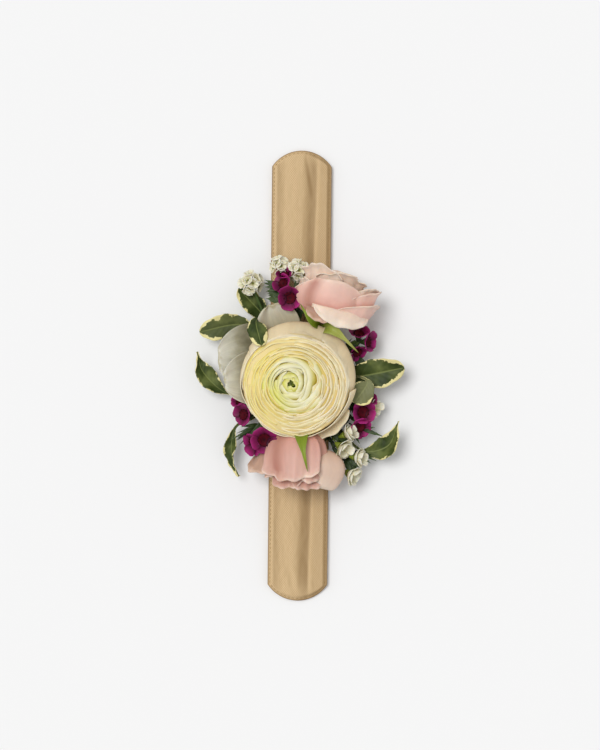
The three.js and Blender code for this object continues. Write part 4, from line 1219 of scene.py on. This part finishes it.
# Each group of rings: the solid it shows, its skin, the petals in a ring and the radius of each ring's rim.
rings = [
    ("ranunculus_outer_petals", outer_cream, 5, [26.4, 26.0, 25.6]),
    ("ranunculus_middle_petals", cream, 6, [24.6, 23.3, 22.0, 20.7, 19.5]),
    ("ranunculus_inner_petals", cream, 5, [18.3, 17.2, 16.1, 15.0, 14.0, 13.0, 12.2]),
    ("ranunculus_heart", lime, 3, [11.2, 9.4, 7.6, 5.9, 4.3, 2.9, 1.8]),
]
for node_name, finish, count, radii in rings:
    bm = new_shape()
    for number, radius in enumerate(radii):
        turn = rng.uniform(0, math.tau)
        for part in range(count):
            angle = turn + part * math.tau / count + rng.uniform(-0.15, 0.15)
            jitter = 0.25 if finish == outer_cream else 0.6 * smooth_step(1, 10, radius)
            rim = radius + rng.uniform(-jitter, jitter)
            top = rim_height(radius) + rng.uniform(-0.5, 0.5)
            back = 0.0
            step = 0.5
            # A spare draw: without it every petal after this one would lie differently.
            rng.random()
            if finish == outer_cream:
                foot_height = head_base + 0.5 + number
                side = [
                    (5.5, foot_height), (22.5 - number, 17 + number * 0.5), (28.4 - number, 25), (rim, top)]
                tone = 0.5 + 0.5 * math.cos(angle - lean_towards - math.pi)
            elif finish == lime:
                back = 1.8 * smooth_step(1, 5, radius)
                step = 1.7 * smooth_step(1, 6, radius)
                side = [(rim + 3.4, top - 4), (rim + 2.7, top - 1.3), (rim + 1.4, top - 0.2), (rim, top)]
            else:
                side = [(rim - 0.6, top - 8), (rim + 0.7, top - 3.4), (rim + 1.1, top - 1.0), (rim, top)]
                tone = 0.45 - 0.4 * math.cos(angle - yellow_side) + rng.uniform(-0.15, 0.15)
                # Painted light: petals on the flower's lower side, which faces away from the light, lean
                # towards the paler second run.
                tone += 0.25 * max(0, -math.sin(angle))
                tone = max(0, tone - 0.3 * (1 - smooth_step(11, 18, radius)))
            half_angle = math.pi / count * rng.uniform(1.25, 1.6)
            if finish == lime:
                tone = heart_tone(angle, half_angle, radius)
            dip = rng.uniform(0.5, 2.0) if finish == cream else rng.uniform(0.5, 1.6)
            ripple = 0.7 if finish == outer_cream else 1.2
            shape = ring_petal(angle, half_angle, side, step, dip, ripple, rng.uniform(0, 40), back)
            rows = 22 if finish == outer_cream else 12
            add_petal(bm, 28, rows, shape, tone)
    settle(bm, f"{node_name}_wound", finish, [node_name], thickness=0.32)

packed = new_shape()
packed_radii = [26.6, 23.0, 19.0, 14.0, 8.0]


def packed_side(u, v):
    """The petals packed below the rims, seen only in the slits between them."""
    radius = curve_point([(r, 0) for r in packed_radii], v)[0].x
    depth = 0.95 + 1.1 * (1 - smooth_step(11, 14, radius))
    return head_point(radius, -math.pi * u, rim_height(radius) - depth)


# Dull gold: the petals packed deep between the rims, with painted shade darkening them towards the heart.
packed_cream = petal_material("packed_ranunculus_petal", [
    (0.0, "#EBD594"), (0.4, "#ECD88C"), (0.68, "#E6D070"), (0.8, "#C8A630"), (1.0, "#B6981C")], [
    (0.0, "#F0DAAC"), (0.4, "#F0D8A2"), (0.68, "#E9D284"), (0.8, "#CCAA3C"), (1.0, "#BA9C24")],
    vein_scale=6.0, roughness=0.55, glow=0.1, fleck=0.06, depth=0.5)
add_petal(packed, 48, 16, packed_side, 0.35)
settle(packed, "ranunculus_packed_petals", packed_cream, thickness=0.8)

# Olive green with dark tips.
eye_green = petal_material("ranunculus_eye", [
    (0.0, "#57661A"), (0.5, "#7E8E22"), (0.8, "#A8B236"), (1.0, "#20280C")], [
    (0.0, "#66761E"), (0.5, "#8E9E2A"), (0.8, "#B4BE42"), (1.0, "#2A3410")],
    vein_scale=8.0, roughness=0.5, glow=0.0, fleck=0.3)
eye = new_shape()
eye_place = head_point(0, 0, 31.6)
eye_profile = [(0.0, -2.0), (1.8, -2.0), (2.1, -0.8), (1.4, 0.2), (0.0, 0.5)]
eye_spread = 1.8
tip_count = 26
tip_radius = 0.32
add_petal(eye, 18, 12, turned_shape(eye_place, 1, (0, 0, 1), eye_profile), 0.3)
for number in range(tip_count):
    angle = number * golden_turn
    spread = math.sqrt((number + 0.5) / tip_count)
    tip = eye_place + Vector((math.cos(angle) * spread, math.sin(angle) * spread, 0)) * eye_spread
    tip.z += 0.7 - 1.1 * spread ** 2
    add_bead(eye, tip, tip_radius)
settle(eye, "ranunculus_eye_dome", eye_green)

receptacle = new_shape()
receptacle_foot = (0.6, 0.1, 0.2)
receptacle_profile = [
    (0.0, 5.7), (5.2, 5.75), (4.6, 7.5), (3.8, 9.2), (6.5, 11.6), (8.6, 13.4), (6.0, 14.6), (0.0, 14.8)]
add_petal(receptacle, 24, 22, turned_shape(receptacle_foot, 1, (0, 0, 1), receptacle_profile), 0.4)
settle(receptacle, "ranunculus_stem_cup", stem_green, ["ranunculus_receptacle"])


# The guard petals: three broad papery petals at the back of the ranunculus, greyish white with fine veins.
# They spread flat beyond the bowl on its left and top, and one cream petal turns out at the lower right.

# Papery greyish white with many fine veins, and painted shade that turns it brown towards its foot, where it
# lies in the bowl's shade; the second run, for the top petal, has less of it.
guard = petal_material("papery_guard_petal", [
    (0.0, "#6A644A"), (0.66, "#787256"), (0.79, "#ACA68C"), (0.88, "#CFCCB8"), (0.97, "#DEDBCC"),
    (1.0, "#BDB698")], [
    (0.0, "#7C765A"), (0.36, "#948C70"), (0.55, "#BDB498"), (0.8, "#CEC7B0"), (0.95, "#D9D3C0"),
    (1.0, "#BDB494")],
    vein_scale=16.0, roughness=0.6, glow=0.15, fleck=0.1, depth=0.6)
# Each guard petal: its spine from the foot of the bowl, half its width, how deep its cup is and its tone.
guards = {
    "left_back": ([(-8, 6, -3.6), (-17, 7.5, -1.6), (-26, 9, 0.8), (-41.8, 8, 7.5)], 17.5, 0.06, 0.0),
    "left_front": ([(-8, -1, -2), (-16, -1, 0.2), (-24, -1.5, 2.6), (-38.5, -3.5, 10.5)], 14.5, 0.2, 0.0),
    "top": ([(-4, 8, -1.5), (-10.2, 23.5, 5), (-15.0, 35.8, 11)], 11.0, 0.22, 1.0),
}


def guard_shape(points, half_width, cup, seed):
    """A broad petal along its spine, rounded at its tip, cupped and softly waved."""
    widest = 0.62

    def shape(u, v):
        place, side, lift = spine_frame(points, v * 0.985)
        if v < widest:
            width = half_width * (0.32 + 0.68 * math.sin(math.pi / 2 * v / widest))
        else:
            width = half_width * math.sqrt(max(0.0, 1 - ((v - widest) / 0.4) ** 2))
        wave = 1.2 * v * noise.noise(Vector((u * 1.8, v * 2.2, seed)))
        wave += 0.5 * v ** 3 * math.sin(6 * u + seed)
        return place + side * u * width + lift * (cup * width * u * u + wave)
    return shape


for number, (name, (spine, half_width, cup, tone)) in enumerate(guards.items()):
    raised = [(x, y, z + head_base) for x, y, z in spine]
    bm = new_shape()
    add_petal(bm, 40, 32, guard_shape(raised, half_width, cup, seed=number * 3.3), tone)
    settle(bm, f"guard_petal_{name}", guard, [f"ranunculus_guard_{name}"], thickness=0.35)

bm = new_shape()
turned_out_profile = [(5.5, 13), (20, 17), (27.5, 21), (33.5, 22.5)]
turned_out = ring_petal(
    math.radians(-58), 0.46, turned_out_profile, step=0.3, fall=-0.8, ripple=1.6, seed=7.0, round_tip=0.2)
add_petal(bm, 28, 20, turned_out, 0.2)
settle(bm, "outer_petal_turned_out", outer_cream, thickness=0.35)
